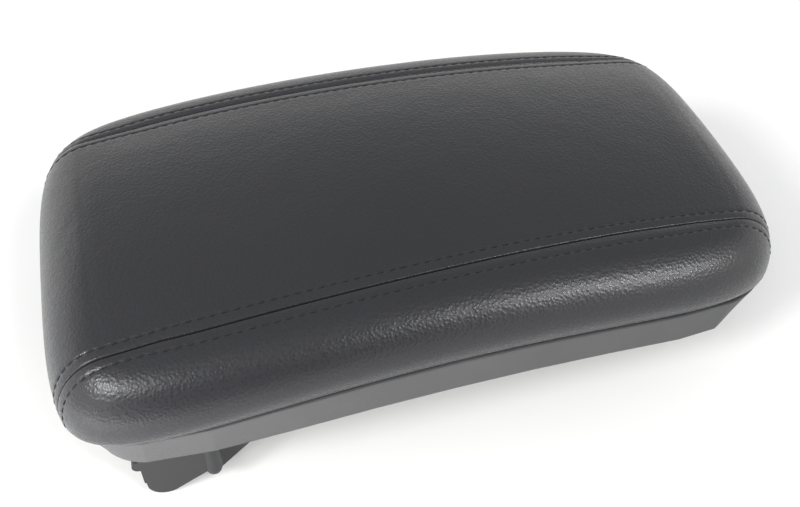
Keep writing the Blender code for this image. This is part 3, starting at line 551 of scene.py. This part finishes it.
def extended(mesh):
    """Each point's place as (a, b): as (u, v) on the top, and past 1 where it lies down the wall."""
    u = read_value(mesh, "along_u")
    v = read_value(mesh, "along_v")
    wall = 1 - read_value(mesh, "wall")
    at_end = np.abs(u) > AT_RIM
    at_side = np.abs(v) > AT_RIM
    a = u + np.sign(u) * np.where(at_end, wall, 0)
    b = v + np.sign(v) * np.where(at_side, wall, 0)
    return a, b


def smooth_step(value):
    value = np.clip(value, 0, 1)
    return value * value * (3 - 2 * value)


def cubic_weights(share):
    """Catmull-Rom weights of the four grid values around a point."""
    return np.stack(
        [
            -0.5 * share + share**2 - 0.5 * share**3,
            1 - 2.5 * share**2 + 1.5 * share**3,
            0.5 * share + 2 * share**2 - 1.5 * share**3,
            -0.5 * share**2 + 0.5 * share**3,
        ]
    )


class PuffField:
    """How far the cloth simulation moved each place of the pad, as a smooth field."""

    def __init__(self, lines_a, lines_b, moves):
        self.lines_a = lines_a
        self.lines_b = lines_b
        self.moves = moves

    def at(self, a, b):
        place_a = np.interp(a, self.lines_a, np.arange(len(self.lines_a)))
        place_b = np.interp(b, self.lines_b, np.arange(len(self.lines_b)))
        base_a = np.floor(place_a).astype(int)
        base_b = np.floor(place_b).astype(int)
        weights_a = cubic_weights(place_a - base_a)
        weights_b = cubic_weights(place_b - base_b)
        total = np.zeros((len(a), 3))
        for i in range(4):
            row = np.clip(base_a + i - 1, 0, len(self.lines_a) - 1)
            for j in range(4):
                column = np.clip(base_b + j - 1, 0, len(self.lines_b) - 1)
                total += (weights_a[i] * weights_b[j])[:, None] * self.moves[row, column]
        return total


def foam_lines():
    """Lines of the simulated skin: the seams fall on lines of it."""
    cell = settings().cloth.cell
    half = settings().pad.width / 2
    start = seam_share()
    middle = np.linspace(-start, start, 2 * round(start * half / cell) + 1)
    edge = settings().pad.shoulder_side / half
    shoulder = shoulder_lines(edge, FOAM_SHOULDER_LINES)
    outer = np.concatenate([[(start + shoulder[0]) / 2], shoulder])
    return long_lines(cell), np.concatenate([-outer[::-1], middle, outer])


HELD_BELOW = 0.1  # share of the wall's height, below which the carrier holds the skin


def simulate_puff(skin):
    """Runs the cloth on the skin and returns how far each point moved, capped smoothly."""
    cloth_set = settings().cloth
    mesh = skin.data
    start = read_points(mesh)
    v = np.abs(read_value(mesh, "along_v"))
    wall = read_value(mesh, "wall")
    held = (wall < HELD_BELOW) | (np.abs(v - seam_share()) < 1e-4)
    group = skin.vertex_groups.new(name="held")
    group.add([int(i) for i in np.nonzero(held)[0]], 1, "REPLACE")
    make_active(skin)
    cloth = skin.modifiers.new("puff", "CLOTH")
    cloth.settings.vertex_group_mass = group.name
    cloth.settings.use_pressure = True
    cloth.settings.uniform_pressure_force = cloth_set.pressure
    cloth.settings.effector_weights.gravity = 0
    cloth.settings.quality = 5
    cloth.settings.tension_stiffness = 15
    cloth.settings.compression_stiffness = 15
    cloth.settings.bending_stiffness = 0.5
    cloth.point_cache.frame_start = 1
    cloth.point_cache.frame_end = cloth_set.frames
    scene = bpy.context.scene
    for number in range(1, cloth_set.frames + 1):
        scene.frame_set(number)
    bpy.ops.object.modifier_apply(modifier=cloth.name)
    scene.frame_set(1)
    moved = read_points(mesh) - start
    size = np.linalg.norm(moved, axis=1)
    room = cloth_set.cap
    factor = np.divide(room * np.tanh(size / room), size, out=np.ones_like(size), where=size > 1e-9)
    moves = moved * factor[:, None]
    write_points(mesh, start + moves)
    return moves


def field_from(skin, lines_u, lines_v, moves):
    """The moves of a skin's points as a PuffField over the top and down the wall."""
    outer = 1 + (1 - np.array(CLOTH_ROWS))
    lines_a, lines_b = (np.concatenate([-outer[::-1], lines, outer]) for lines in (lines_u, lines_v))
    a, b = extended(skin.data)
    rows = np.abs(a[:, None] - lines_a[None]).argmin(axis=1)
    columns = np.abs(b[:, None] - lines_b[None]).argmin(axis=1)
    grid = np.zeros((len(lines_a), len(lines_b), 3))
    grid[rows, columns] = moves
    depth = len(outer)
    for i in range(depth):
        for j in range(depth):
            reach = max(i, j)
            near_a, far_a = depth - 1 - i, len(lines_a) - depth + i
            near_b, far_b = depth - 1 - j, len(lines_b) - depth + j
            for row in (near_a, far_a):
                for column in (near_b, far_b):
                    side_row = depth - 1 - reach if row < depth else len(lines_a) - depth + reach
                    rim_column = depth if column < depth else len(lines_b) - depth - 1
                    grid[row, column] = grid[side_row, rim_column]
    return PuffField(lines_a, lines_b, grid)


FOLD_WIDE_MM = 0.27  # half width of the fold where two panels meet
FOLD_POWER = 1.5
ALLOWANCE_MM = 0.15  # how far the seam allowance under the leather lifts it
ALLOWANCE_START_MM = 0.3
ALLOWANCE_RISE_MM = 2.2
ALLOWANCE_FALL_MM = 2
STITCHED_WIDE_MM = 0.5
SWELL_MM = 0.07  # the low swell outside a stitch row, and where it lies
SWELL_FROM_ROW_MM = 2.1
SWELL_WIDE_MM = 1.7
HEM_FADE = 0.4  # the relief dies out over this share of the hem


def bell(distance, wide, power=2):
    return np.exp(-((distance / wide) ** power))


def seam_relief(distance, phase):
    """Height of the leather over the pad's form at a distance from the seam, in metres.

    It folds down at the seam, stands proud over the seam allowance and is pulled in along the stitches.
    """
    seam = settings().seam
    d = distance / MM
    row = seam.row / MM
    fold = -seam.valley * bell(d, FOLD_WIDE_MM, FOLD_POWER)
    rise = smooth_step((d - ALLOWANCE_START_MM) / ALLOWANCE_RISE_MM)
    allowance = ALLOWANCE_MM * MM * rise * smooth_step((row - d) / ALLOWANCE_FALL_MM)
    holes = 0.5 + 0.5 * np.cos(phase)
    stitched = -(seam.groove + seam.pucker * holes**2) * bell(d - row, STITCHED_WIDE_MM)
    beyond = SWELL_MM * MM * bell(d - row - SWELL_FROM_ROW_MM, SWELL_WIDE_MM)
    return fold + allowance + stitched + beyond


def row_lengths(mesh, line):
    """Places along the lid, arc lengths, points and point numbers on the line where along_v is line."""
    v = read_value(mesh, "along_v")
    a = extended(mesh)[0]
    on_line = np.abs(v - line) < 1e-5
    on_line &= read_value(mesh, "wall") > -0.01
    order = np.argsort(a[on_line])
    points = read_points(mesh)[on_line][order]
    lengths = np.concatenate([[0], np.cumsum(np.linalg.norm(np.diff(points, axis=0), axis=1))])
    return a[on_line][order], lengths, points, np.nonzero(on_line)[0][order]


def leather_panel(name, node, lines_u, lines_v, seams, puff):
    """One sewn panel: the form, the puff, the relief of its seams, and the leather's thickness.

    Returns the piece and the stitch lines on it.
    """
    seam = settings().seam
    half = settings().pad.width / 2
    panel = sheet_on_form(name, lines_u, lines_v, WALL_ROWS)
    mesh = panel.data
    write_points(mesh, form_points(mesh, settings().cloth.start_inset))
    a, b = extended(mesh)
    write_points(mesh, read_points(mesh) + puff.at(a, b))
    normals = read_points(mesh, "normal")
    v = read_value(mesh, "along_v")
    relief = np.zeros(len(v))
    line_places = []
    for line in seams:
        outward = 1 if abs(lines_v.mean()) > abs(line) else -1
        row_v = line + outward * math.copysign(seam.row / half, line)
        nearest = lines_v[np.abs(lines_v - row_v).argmin()]
        places, lengths, _, _ = row_lengths(mesh, nearest)
        phase = np.interp(a, places, lengths) / seam.pitch * 2 * math.pi
        distance = np.abs(v - line) * half
        here = distance < half * abs(line) if len(seams) > 1 else distance >= 0
        relief += np.where(here, seam_relief(distance, phase), 0)
        line_places.append(nearest)
    hem_fade = smooth_step((read_value(mesh, "wall") + HEM_FADE) / HEM_FADE)
    write_points(mesh, read_points(mesh) + normals * (relief * hem_fade)[:, None])
    stitch_lines = []
    normals = read_points(mesh, "normal")
    for nearest in line_places:
        _, lengths, points, index = row_lengths(mesh, nearest)
        stitch_lines.append((lengths, points, normals[index]))
    make_active(panel)
    skin = panel.modifiers.new("leather", "SOLIDIFY")
    skin.thickness = settings().pad.leather
    skin.offset = -1
    bpy.ops.object.modifier_apply(modifier=skin.name)
    bpy.ops.object.shade_smooth()
    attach(panel, LID)
    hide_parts(node)
    return panel, stitch_lines


STITCH_SHARE = 0.86  # of the pitch: the rest is the leather between two needle holes
STITCH_CUT_REACH = 0.42  # the cuts along a stitch lie this far out from its middle
STITCH_CUTS = 6
END_THINNING = 0.45  # share of its radius that the thread loses at the ends
FLATTENING = 0.85  # of its height, as the seam is pulled tight
STITCH_RISE = 0.75  # height of the middle, and how far the ends lie below it, in thread radii
END_DEPTH = 2.6
END_POWER = 3.2  # how late the ends turn down
STITCH_SLANT = 0.05  # in radians, and how far single stitches stray from it
SLANT_SPREAD = 0.05
ROW_END_FREE = 0.6  # length without a stitch at a row's end, in pitches


def one_stitch():
    """A stitch that lies along X with its ends going down into the leather."""
    seam = settings().seam
    deselect_all()
    length = seam.pitch * STITCH_SHARE
    bpy.ops.mesh.primitive_cylinder_add(vertices=8, radius=seam.thread, depth=length, end_fill_type="TRIFAN")
    stitch = bpy.context.object
    bpy.ops.object.mode_set(mode="EDIT")
    bpy.ops.mesh.select_all(action="SELECT")
    bpy.ops.transform.rotate(value=math.pi / 2, orient_axis="Y", center_override=(0, 0, 0))
    for cut in np.linspace(-STITCH_CUT_REACH, STITCH_CUT_REACH, STITCH_CUTS):
        bpy.ops.mesh.select_all(action="SELECT")
        bpy.ops.mesh.bisect(plane_co=(cut * length, 0, 0), plane_no=(1, 0, 0))
    bpy.ops.object.mode_set(mode="OBJECT")
    mesh = stitch.data
    points = read_points(mesh)
    share = np.clip(np.abs(points[:, 0]) / (length / 2), 0, 1)
    thin = 1 - END_THINNING * share**4
    points[:, 1] *= thin
    lift = seam.thread * (STITCH_RISE - END_DEPTH * share**END_POWER)
    points[:, 2] = points[:, 2] * thin * FLATTENING + lift
    write_points(mesh, points)
    faces = [tuple(face.vertices) for face in mesh.polygons]
    shape = read_points(mesh)
    bpy.data.objects.remove(stitch, do_unlink=True)
    return shape, faces


def stitch_row(name, line, shape, faces, material):
    """Copies the stitch along a line, square to the leather at each place."""
    seam = settings().seam
    lengths, points, normals = line
    count = int((lengths[-1] - seam.pitch * ROW_END_FREE) / seam.pitch)
    places = (np.arange(count) + 0.5) * seam.pitch

    def along_row(where, values):
        return np.stack([np.interp(where, lengths, values[:, k]) for k in range(3)], axis=1)

    centre = along_row(places, points)
    before = along_row(places - seam.pitch / 4, points)
    after = along_row(places + seam.pitch / 4, points)
    up = along_row(places, normals)
    tangent = after - before
    tangent /= np.linalg.norm(tangent, axis=1)[:, None]
    across = np.cross(up, tangent)
    across /= np.linalg.norm(across, axis=1)[:, None]
    up = np.cross(tangent, across)
    random = np.random.default_rng(SEED)
    slant = random.normal(0, SLANT_SPREAD, count) + STITCH_SLANT
    along = tangent * np.cos(slant)[:, None] + across * np.sin(slant)[:, None]
    across = np.cross(up, along)
    vertices = []
    polygons = []
    for k in range(count):
        turn = np.stack([along[k], across[k], up[k]])
        offset = len(vertices) * len(shape)
        vertices.append(centre[k] + shape @ turn)
        polygons.extend(tuple(offset + i for i in face) for face in faces)
    mesh = bpy.data.meshes.new(name)
    mesh.from_pydata(np.concatenate(vertices).tolist(), [], polygons)
    row = add_object(name, mesh)
    mesh.materials.append(material)
    make_active(row)
    bpy.ops.object.shade_smooth()
    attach(row, LID)


# Materials


def linear(hex_value):
    """An sRGB hex value as a linear colour."""
    parts = [int(hex_value[i : i + 2], 16) / 255 for i in (1, 3, 5)]
    return tuple(c / 12.92 if c <= 0.04045 else ((c + 0.055) / 1.055) ** 2.4 for c in parts) + (1,)


def new_material(name):
    """A material, its nodes, its shader, and the place on the object that its textures read."""
    material = bpy.data.materials.new(name)
    material.use_nodes = True
    tree = material.node_tree
    place = add_node(tree, "ShaderNodeTexCoord").outputs["Object"]
    return material, tree, tree.nodes["Principled BSDF"], place


def add_node(tree, kind, settings_by_name=None, links=None):
    """Adds a node, sets its properties and input values, and links {input: output socket}."""
    node = tree.nodes.new(kind)
    for key, value in (settings_by_name or {}).items():
        if isinstance(key, str) and hasattr(node, key):
            setattr(node, key, value)
        else:
            node.inputs[key].default_value = value
    for key, socket in (links or {}).items():
        tree.links.new(socket, node.inputs[key])
    return node


def noise(tree, place, scale, detail, roughness=0.5):
    """The outputs of a cloudy noise, with scale waves to the metre."""
    values = {"Scale": scale, "Detail": detail, "Roughness": roughness}
    return add_node(tree, "ShaderNodeTexNoise", values, {"Vector": place}).outputs


def between(tree, value, from_range, to_range, kind="LINEAR"):
    """Maps a value's range onto another, and holds it there."""
    values = {"interpolation_type": kind, "From Min": from_range[0], "From Max": from_range[1]}
    values.update({"To Min": to_range[0], "To Max": to_range[1]})
    return add_node(tree, "ShaderNodeMapRange", values, {"Value": value}).outputs["Result"]


def sum_of(tree, value, share, other):
    """A share of one value added to another."""
    links = {0: value, 2: other}
    return add_node(tree, "ShaderNodeMath", {"operation": "MULTIPLY_ADD", 1: share}, links).outputs["Value"]


def blend(tree, share, low, high):
    """A colour between two."""
    return add_node(tree, "ShaderNodeMix", {"data_type": "RGBA", 6: low, 7: high}, {0: share}).outputs[2]


def bump_map(tree, strength, depth, height, normal=None):
    links = {"Height": height}
    if normal is not None:
        links["Normal"] = normal
    values = {"Strength": strength, "Distance": depth}
    return add_node(tree, "ShaderNodeBump", values, links).outputs["Normal"]


def shade(color, factor):
    return tuple(min(1, c * factor) for c in color[:3]) + (1,)


def finish_shader(tree, shader, links, values):
    """Links sockets to the shader's inputs and sets what is uniform on the inputs themselves."""
    for key, socket in links.items():
        tree.links.new(socket, shader.inputs[key])
    for key, value in values.items():
        shader.inputs[key].default_value = value


GRAIN_MM = 1.35
GRAIN_WARP = 0.6 * MM
FOLD_HIGHLIGHT_RANGE = (0.17, 0.07)  # where the painted highlight on the lower fold starts and where it is full, as shares of the wall's height
# share of the painted highlight colour where it is full
FOLD_HIGHLIGHT_SHARE = 0.8


def coated_leather(hex_value, fold_highlight_hex):
    """Polyurethane-coated leather, embossed with a pebble grain and left satin.

    The eye sees cells of about a millimetre, which sparkle where a light is mirrored and vanish elsewhere.
    The lower fold is painted paler: a painted highlight for the light line where the leather rolls under at
    its lower edge.
    """
    material, tree, shader, place = new_material("coated_leather_pebble_grain")
    warp = noise(tree, place, 420, 2)["Color"]
    values = {"operation": "MULTIPLY_ADD", 1: (GRAIN_WARP, GRAIN_WARP, GRAIN_WARP)}
    shift = add_node(tree, "ShaderNodeVectorMath", values, {0: warp, 2: place})
    values = {"feature": "SMOOTH_F1", "Scale": 1 / (GRAIN_MM * MM), "Smoothness": 0.5, "Randomness": 0.9}
    cells = add_node(tree, "ShaderNodeTexVoronoi", values, {"Vector": shift.outputs["Vector"]})
    pebble = between(tree, cells.outputs["Distance"], (0.15, 0.75), (1, 0), "SMOOTHSTEP")
    grain = sum_of(tree, noise(tree, place, 2600, 3, 0.6)["Fac"], 0.15, pebble)
    soft = bump_map(tree, 0.5, 0.6 * MM, noise(tree, place, 55, 2)["Fac"])
    bump = bump_map(tree, 0.6, 0.1 * MM, grain, soft)
    deep = linear(hex_value)
    color = blend(tree, noise(tree, place, 14, 3, 0.55)["Fac"], deep, shade(deep, 1.25))
    # Painted highlight: towards the lower edge, the leather's colour is mixed with the pale fold colour.
    down = add_node(tree, "ShaderNodeAttribute", {"attribute_name": "wall"}).outputs["Fac"]
    fold_highlight_share = between(tree, down, FOLD_HIGHLIGHT_RANGE, (0, FOLD_HIGHLIGHT_SHARE), "SMOOTHSTEP")
    values = {"data_type": "RGBA", 7: linear(fold_highlight_hex)}
    painted_fold_highlight = add_node(tree, "ShaderNodeMix", values, {0: fold_highlight_share, 6: color})
    rough = between(tree, pebble, (0, 1), (0.36, 0.26))
    links = {"Base Color": painted_fold_highlight.outputs[2], "Roughness": rough, "Normal": bump}
    finish_shader(tree, shader, links, {"IOR": 1.47, "Sheen Weight": 0.02, "Sheen Roughness": 0.5})
    return material


def bonded_thread(hex_value):
    """Bonded polyester thread, twisted from three strands: matt, with the twist just showing."""
    material, tree, shader, place = new_material("bonded_polyester_thread")
    twist = add_node(
        tree,
        "ShaderNodeTexWave",
        {"wave_type": "BANDS", "bands_direction": "DIAGONAL", "Scale": 900, "Distortion": 1.5, "Detail": 1},
        {"Vector": place},
    ).outputs["Fac"]
    deep = linear(hex_value)
    color = blend(tree, twist, deep, shade(deep, 2.2))
    bump = bump_map(tree, 0.5, 0.08 * MM, twist)
    finish_shader(tree, shader, {"Base Color": color, "Normal": bump}, {"Roughness": 0.75})
    return material


def moulded_plastic(name, hex_value, roughness, grain_mm, depth_mm, edge_mm):
    """Injection-moulded plastic from a spark-eroded mould.

    The eye sees a fine even matt texture with faint flow clouds, slightly paler high spots and soft edges.
    """
    material, tree, shader, place = new_material(name)
    scale = 1 / (grain_mm * MM)
    values = {"feature": "F1", "Scale": scale, "Randomness": 1}
    spark = add_node(tree, "ShaderNodeTexVoronoi", values, {"Vector": place})
    fine = noise(tree, place, scale, 4, 0.65)["Fac"]
    texture = sum_of(tree, fine, 0.6, spark.outputs["Distance"])
    edge = add_node(tree, "ShaderNodeBevel", {"samples": 6, "Radius": edge_mm * MM})
    bump = bump_map(tree, 0.5, depth_mm * MM, texture, edge.outputs["Normal"])
    cloud = noise(tree, place, 26, 4, 0.6)["Fac"]
    share = between(tree, sum_of(tree, fine, 0.5, cloud), (0.55, 0.95), (0, 1))
    middle = linear(hex_value)
    color = blend(tree, share, shade(middle, 0.9), shade(middle, 1.12))
    rough = between(tree, cloud, (0.3, 0.7), (roughness - 0.06, roughness + 0.06))
    finish_shader(tree, shader, {"Base Color": color, "Roughness": rough, "Normal": bump}, {"IOR": 1.49})
    return material


def zinc_steel():
    """Zinc-plated steel, as on small screws and pins: grey, with faint drawing marks and cloudy plating."""
    material, tree, shader, place = new_material("zinc_plated_steel")
    cloud = noise(tree, place, 300, 4, 0.6)["Fac"]
    stretch = add_node(tree, "ShaderNodeMapping", {"Scale": (1, 12, 1)}, {"Vector": place})
    marks = noise(tree, stretch.outputs["Vector"], 900, 2)["Fac"]
    links = {
        "Base Color": blend(tree, cloud, linear("#8F9092"), linear("#C9CACC")),
        "Roughness": between(tree, cloud, (0, 1), (0.28, 0.5)),
        "Normal": bump_map(tree, 0.2, 0.02 * MM, marks),
    }
    finish_shader(tree, shader, links, {"Metallic": 1})
    return material


def soft_solid(name, low_hex, high_hex, roughness, scale, depth_mm):
    """A matt material with an open or powdery surface, such as foam or rubber."""
    material, tree, shader, place = new_material(name)
    pores = noise(tree, place, scale, 4, 0.7)["Fac"]
    color = blend(tree, pores, linear(low_hex), linear(high_hex))
    bump = bump_map(tree, 0.6, depth_mm * MM, pores)
    finish_shader(tree, shader, {"Base Color": color, "Normal": bump}, {"Roughness": roughness})
    return material


def paint_nodes(names, material):
    """Gives CAD nodes a material in their own slots."""
    for name in names:
        item = frame["nodes"][name]
        if not item.material_slots:
            item.data.materials.append(material)
        for place in item.material_slots:
            place.material = material


def nodes_in_slot(slot):
    return [part["node"] for part in frame["record"]["subparts"] if part["material_slot"] == slot]


# Operators

FOAM_INSET = 2.1 * MM
FOAM_LIFT = 4.5 * MM  # pad's lower edge to the carrier's upper face, where the foam ends
FOAM_DIMPLE = 3 * MM  # how far from a seam its pull on the foam reaches

PLASTICS = (  # slot, material, roughness, then grain, depth and edge radius in mm
    ("base", "moulded_abs_spark_texture", 0.58, 0.8, 0.12, 2),
    ("bracket", "moulded_nylon_fine_matt", 0.5, 0.4, 0.03, 0.5),
    ("carrier", "moulded_polypropylene_black", 0.55, 0.5, 0.04, 0.5),
    ("bush", "turned_acetal_natural", 0.35, 0.3, 0.01, 0.2),
)


class ARMREST_OT_cover(bpy.types.Operator):
    """Puff the foam, then make the leather panels and the stitches over it"""

    bl_idname = "armrest.cover"
    bl_label = "Build the padded cover"

    def execute(self, context):
        colors = settings().colors
        # colors.fold is the colour of the painted highlight along the leather's lower roll
        leather = coated_leather(colors.leather, colors.fold)
        lines_u, lines_v = foam_lines()
        foam = sheet_on_form("foam_core", lines_u, lines_v, CLOTH_ROWS)
        write_points(foam.data, form_points(foam.data, settings().cloth.start_inset))
        moves = simulate_puff(foam)
        puff = field_from(foam, lines_u, lines_v, moves)
        self.close_foam(foam, moves)
        along = long_lines(LONG_STEP)
        start = seam_share()
        panels = [("centre_panel", centre_lines(CENTRE_STEP), (-start, start))]
        for word, side in SIDES:
            lines = side_lines(SIDE_STEP)
            panels.append(("side_panel_" + word, lines if side > 0 else -lines[::-1], (side * start,)))
        made = []
        for name, lines, seams in panels:
            panel, rows = leather_panel("leather_" + name, "cover_" + name, along, lines, seams, puff)
            panel.data.materials.append(leather)
            made.append(rows)
        centre, near, far = made
        thread = bonded_thread(colors.thread)
        shape, faces = one_stitch()
        places = {"near_inner": centre[0], "far_inner": centre[1], "near_outer": near[0], "far_outer": far[0]}
        for place, line in places.items():
            stitch_row("stitches_" + place, line, shape, faces, thread)
        return {"FINISHED"}

    def close_foam(self, foam, moves):
        """Sets the simulated skin inside the leather, pressed in at the seams, and closes it below."""
        mesh = foam.data
        v = np.abs(read_value(mesh, "along_v"))
        at_seam = bell((v - seam_share()) * settings().pad.width / 2, FOAM_DIMPLE)
        points = form_points(mesh, settings().cloth.start_inset + FOAM_INSET) + moves
        points[:, 2] = np.maximum(points[:, 2], edge_z(points[:, 0]) + FOAM_LIFT)
        write_points(mesh, points)
        normals = read_points(mesh, "normal")
        write_points(mesh, points - normals * (at_seam * settings().seam.valley)[:, None])
        make_active(foam)
        bpy.ops.object.mode_set(mode="EDIT")
        bpy.ops.mesh.select_all(action="DESELECT")
        bpy.ops.mesh.select_mode(type="EDGE")
        form = bmesh.from_edit_mesh(mesh)
        for edge in form.edges:
            edge.select_set(edge.is_boundary)
        bmesh.update_edit_mesh(mesh)
        bpy.ops.mesh.fill_grid(span=len(foam_lines()[0]) - 1, use_interp_simple=True)
        bpy.ops.mesh.select_all(action="SELECT")
        bpy.ops.mesh.normals_make_consistent(inside=False)
        bpy.ops.object.mode_set(mode="OBJECT")
        filled = (read_value(mesh, "wall") == 0) & (np.abs(read_value(mesh, "along_u")) < AT_RIM)
        filled &= np.abs(read_value(mesh, "along_v")) < AT_RIM
        points = read_points(mesh)
        points[:, 2] = np.where(filled, edge_z(points[:, 0]) + FOAM_LIFT, points[:, 2])
        write_points(mesh, points)
        smooth = foam.modifiers.new("smooth", "SUBSURF")
        smooth.levels = 1
        smooth.render_levels = 1
        bpy.ops.object.modifier_apply(modifier=smooth.name)
        bpy.ops.object.shade_smooth()
        mesh.materials.append(soft_solid("moulded_polyurethane_foam", "#B9B08F", "#D8D0B2", 0.9, 700, 0.3))
        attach(foam, LID)
        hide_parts("foam_pad")


class ARMREST_OT_mouldings(bpy.types.Operator):
    """Give the base, the carrier, the hinge and the latch their plastics"""

    bl_idname = "armrest.mouldings"
    bl_label = "Finish the mouldings"

    def execute(self, context):
        colors = settings().colors
        # colors.bracket holds painted shade on top of the hinge and latch mouldings' own colour
        hexes = {"base": colors.base, "bracket": colors.bracket, "carrier": "#1C1C1D", "bush": "#DCD9CC"}
        for slot, name, *finish in PLASTICS:
            paint_nodes(nodes_in_slot(slot), moulded_plastic(name, hexes[slot], *finish))
        return {"FINISHED"}


class ARMREST_OT_hardware(bpy.types.Operator):
    """Give the screws, pins, spring and buffers their finishes"""

    bl_idname = "armrest.hardware"
    bl_label = "Finish the hardware"

    def execute(self, context):
        paint_nodes(nodes_in_slot("steel"), zinc_steel())
        rubber = soft_solid("moulded_grey_rubber", "#8E8C84", "#A3A198", 0.7, 900, 0.02)
        paint_nodes(nodes_in_slot("rubber"), rubber)
        return {"FINISHED"}


def direction(azimuth, elevation):
    """A unit vector, from angles in degrees."""
    turn = math.radians(azimuth)
    rise = math.radians(elevation)
    return math.cos(rise) * math.cos(turn), math.cos(rise) * math.sin(turn), math.sin(rise)


SENSOR_MM = 36
FOCAL_PX = 1005
FRAME_WIDE_PX = 800
CAMERA_PLACE = (-0.08864, -0.30905, 0.36805)
CAMERA_TURN = (44.1725, -0.3994, -15.469)
FLOOR_SIZE = 8

# The room's light by height, which is the sine of the elevation
WALL_HEIGHTS = (0.1, 0.6)
WALL_STRENGTHS = (1.34, 0.62)
WARM_WHITE = (1, 0.985, 0.94, 1)
COOL_WHITE = (0.95, 0.97, 1, 1)
TINT_HEIGHTS = (0.1, 0.5)

DARK_PANEL = (-105, 25)  # azimuth from +X towards +Y, and elevation, in degrees
PANEL_EDGE = (0.75, 0.96)  # cosine of the angle from its middle, where it starts and where it is full
PANEL_SHARE = 0.2  # of the room's light, which is left there

SOFT_LIGHTS = (  # name, azimuth, elevation, spread in degrees, strength
    ("softbox_left", -157, 36, 14, 1.55),
    ("softbox_left_edge", -136, 45, 14, 0.4),
    ("strip_right_top", -60, 48, 6, 0.4),
    ("strip_right_middle", -50, 35, 6, 0.7),
    ("strip_right_foot", -42, 22, 6, 0.5),
)
CARD_PLACE = (-0.36, -0.25, 0.05)
CARD_AIM = (-0.13, -0.06, 0.045)
CARD_SIZE = (0.25, 0.15)
CARD_POWER = 2.4


class ARMREST_OT_studio(bpy.types.Operator):
    """Add the pale floor, the soft lights and the camera"""

    bl_idname = "armrest.studio"
    bl_label = "Set up the studio"

    def execute(self, context):
        deselect_all()
        bpy.ops.mesh.primitive_grid_add(x_subdivisions=8, y_subdivisions=8, size=FLOOR_SIZE)
        floor = bpy.context.object
        floor.name = "studio_floor"
        material, tree, shader, place = new_material("matt_white_board")
        pale = linear(settings().colors.floor)
        color = blend(tree, noise(tree, place, 3, 2)["Fac"], shade(pale, 0.985), pale)
        finish_shader(tree, shader, {"Base Color": color}, {"Roughness": 0.8})
        floor.data.materials.append(material)
        world = bpy.data.worlds.new("studio")
        bpy.context.scene.world = world
        world.use_nodes = True
        self.paint_room(world.node_tree)
        for name, azimuth, elevation, spread, strength in SOFT_LIGHTS:
            self.add_light(name, azimuth, elevation, spread, strength)
        self.add_card()
        camera_data = bpy.data.cameras.new("photo_view")
        camera_data.sensor_width = SENSOR_MM
        camera_data.lens = FOCAL_PX / FRAME_WIDE_PX * SENSOR_MM
        camera_data.clip_start = 0.01
        camera = add_object("photo_view", camera_data)
        camera.location = CAMERA_PLACE
        camera.rotation_euler = Euler([math.radians(turn) for turn in CAMERA_TURN], "XYZ")
        bpy.context.scene.camera = camera
        bpy.context.scene.view_settings.view_transform = "Standard"
        return {"FINISHED"}

    def paint_room(self, tree):
        """White walls that are brightest near the floor, and a dark panel on the near side."""
        place = add_node(tree, "ShaderNodeTexCoord").outputs["Generated"]
        height = add_node(tree, "ShaderNodeSeparateXYZ", links={"Vector": place})
        walls = between(tree, height.outputs["Z"], WALL_HEIGHTS, WALL_STRENGTHS, "SMOOTHSTEP")
        values = {"operation": "DOT_PRODUCT", 1: direction(*DARK_PANEL)}
        toward_panel = add_node(tree, "ShaderNodeVectorMath", values, {0: place})
        open_share = between(tree, toward_panel.outputs["Value"], PANEL_EDGE, (1, PANEL_SHARE), "SMOOTHSTEP")
        strength = add_node(tree, "ShaderNodeMath", {"operation": "MULTIPLY"}, {0: walls, 1: open_share})
        rise = between(tree, height.outputs["Z"], TINT_HEIGHTS, (0, 1))
        room = tree.nodes["Background"]
        tree.links.new(blend(tree, rise, WARM_WHITE, COOL_WHITE), room.inputs["Color"])
        tree.links.new(strength.outputs["Value"], room.inputs["Strength"])

    def add_card(self):
        """A white card low on the left, which lights the shaded base and isn't mirrored in the leather."""
        lamp = bpy.data.lights.new("card_left", "AREA")
        lamp.shape = "RECTANGLE"
        lamp.size, lamp.size_y = CARD_SIZE
        lamp.energy = CARD_POWER
        card = add_object("card_left", lamp)
        card.location = CARD_PLACE
        card.rotation_euler = (Vector(CARD_PLACE) - Vector(CARD_AIM)).to_track_quat("Z", "Y").to_euler()
        card.visible_camera = False
        card.visible_glossy = False

    def add_light(self, name, azimuth, elevation, spread, strength):
        """A far, round soft light."""
        lamp = bpy.data.lights.new(name, "SUN")
        lamp.angle = math.radians(spread)
        lamp.energy = strength
        item = add_object(name, lamp)
        place = Vector(direction(azimuth, elevation))
        item.location = place
        item.rotation_euler = place.to_track_quat("Z", "Y").to_euler()


class ARMREST_PT_panel(bpy.types.Panel):
    """Lists the sizes, the colours and the operators"""

    bl_label = "Armrest lid"
    bl_idname = "ARMREST_PT_panel"
    bl_space_type = "VIEW_3D"
    bl_region_type = "UI"
    bl_category = "Armrest"

    def draw(self, context):
        layout = self.layout
        for group in (settings().pad, settings().seam, settings().cloth, settings().colors):
            box = layout.box()
            for name in group.__annotations__:
                box.prop(group, name)
        for operator in OPERATORS:
            layout.operator(operator.bl_idname)


OPERATORS = (ARMREST_OT_cover, ARMREST_OT_mouldings, ARMREST_OT_hardware, ARMREST_OT_studio)
GROUPS = (PadSizes, SeamSizes, ClothSettings, FinishColors, ArmrestSettings)
CLASSES = (*GROUPS, *OPERATORS, ARMREST_PT_panel)


def register():
    for item in CLASSES:
        bpy.utils.register_class(item)
    bpy.types.Scene.armrest = bpy.props.PointerProperty(type=ArmrestSettings)


def unregister():
    del bpy.types.Scene.armrest
    for item in reversed(CLASSES):
        bpy.utils.unregister_class(item)


def main():
    register()
    bpy.ops.armrest.studio()
    bpy.ops.armrest.mouldings()
    bpy.ops.armrest.hardware()
    bpy.ops.armrest.cover()


if __name__ == "__main__":
    main()
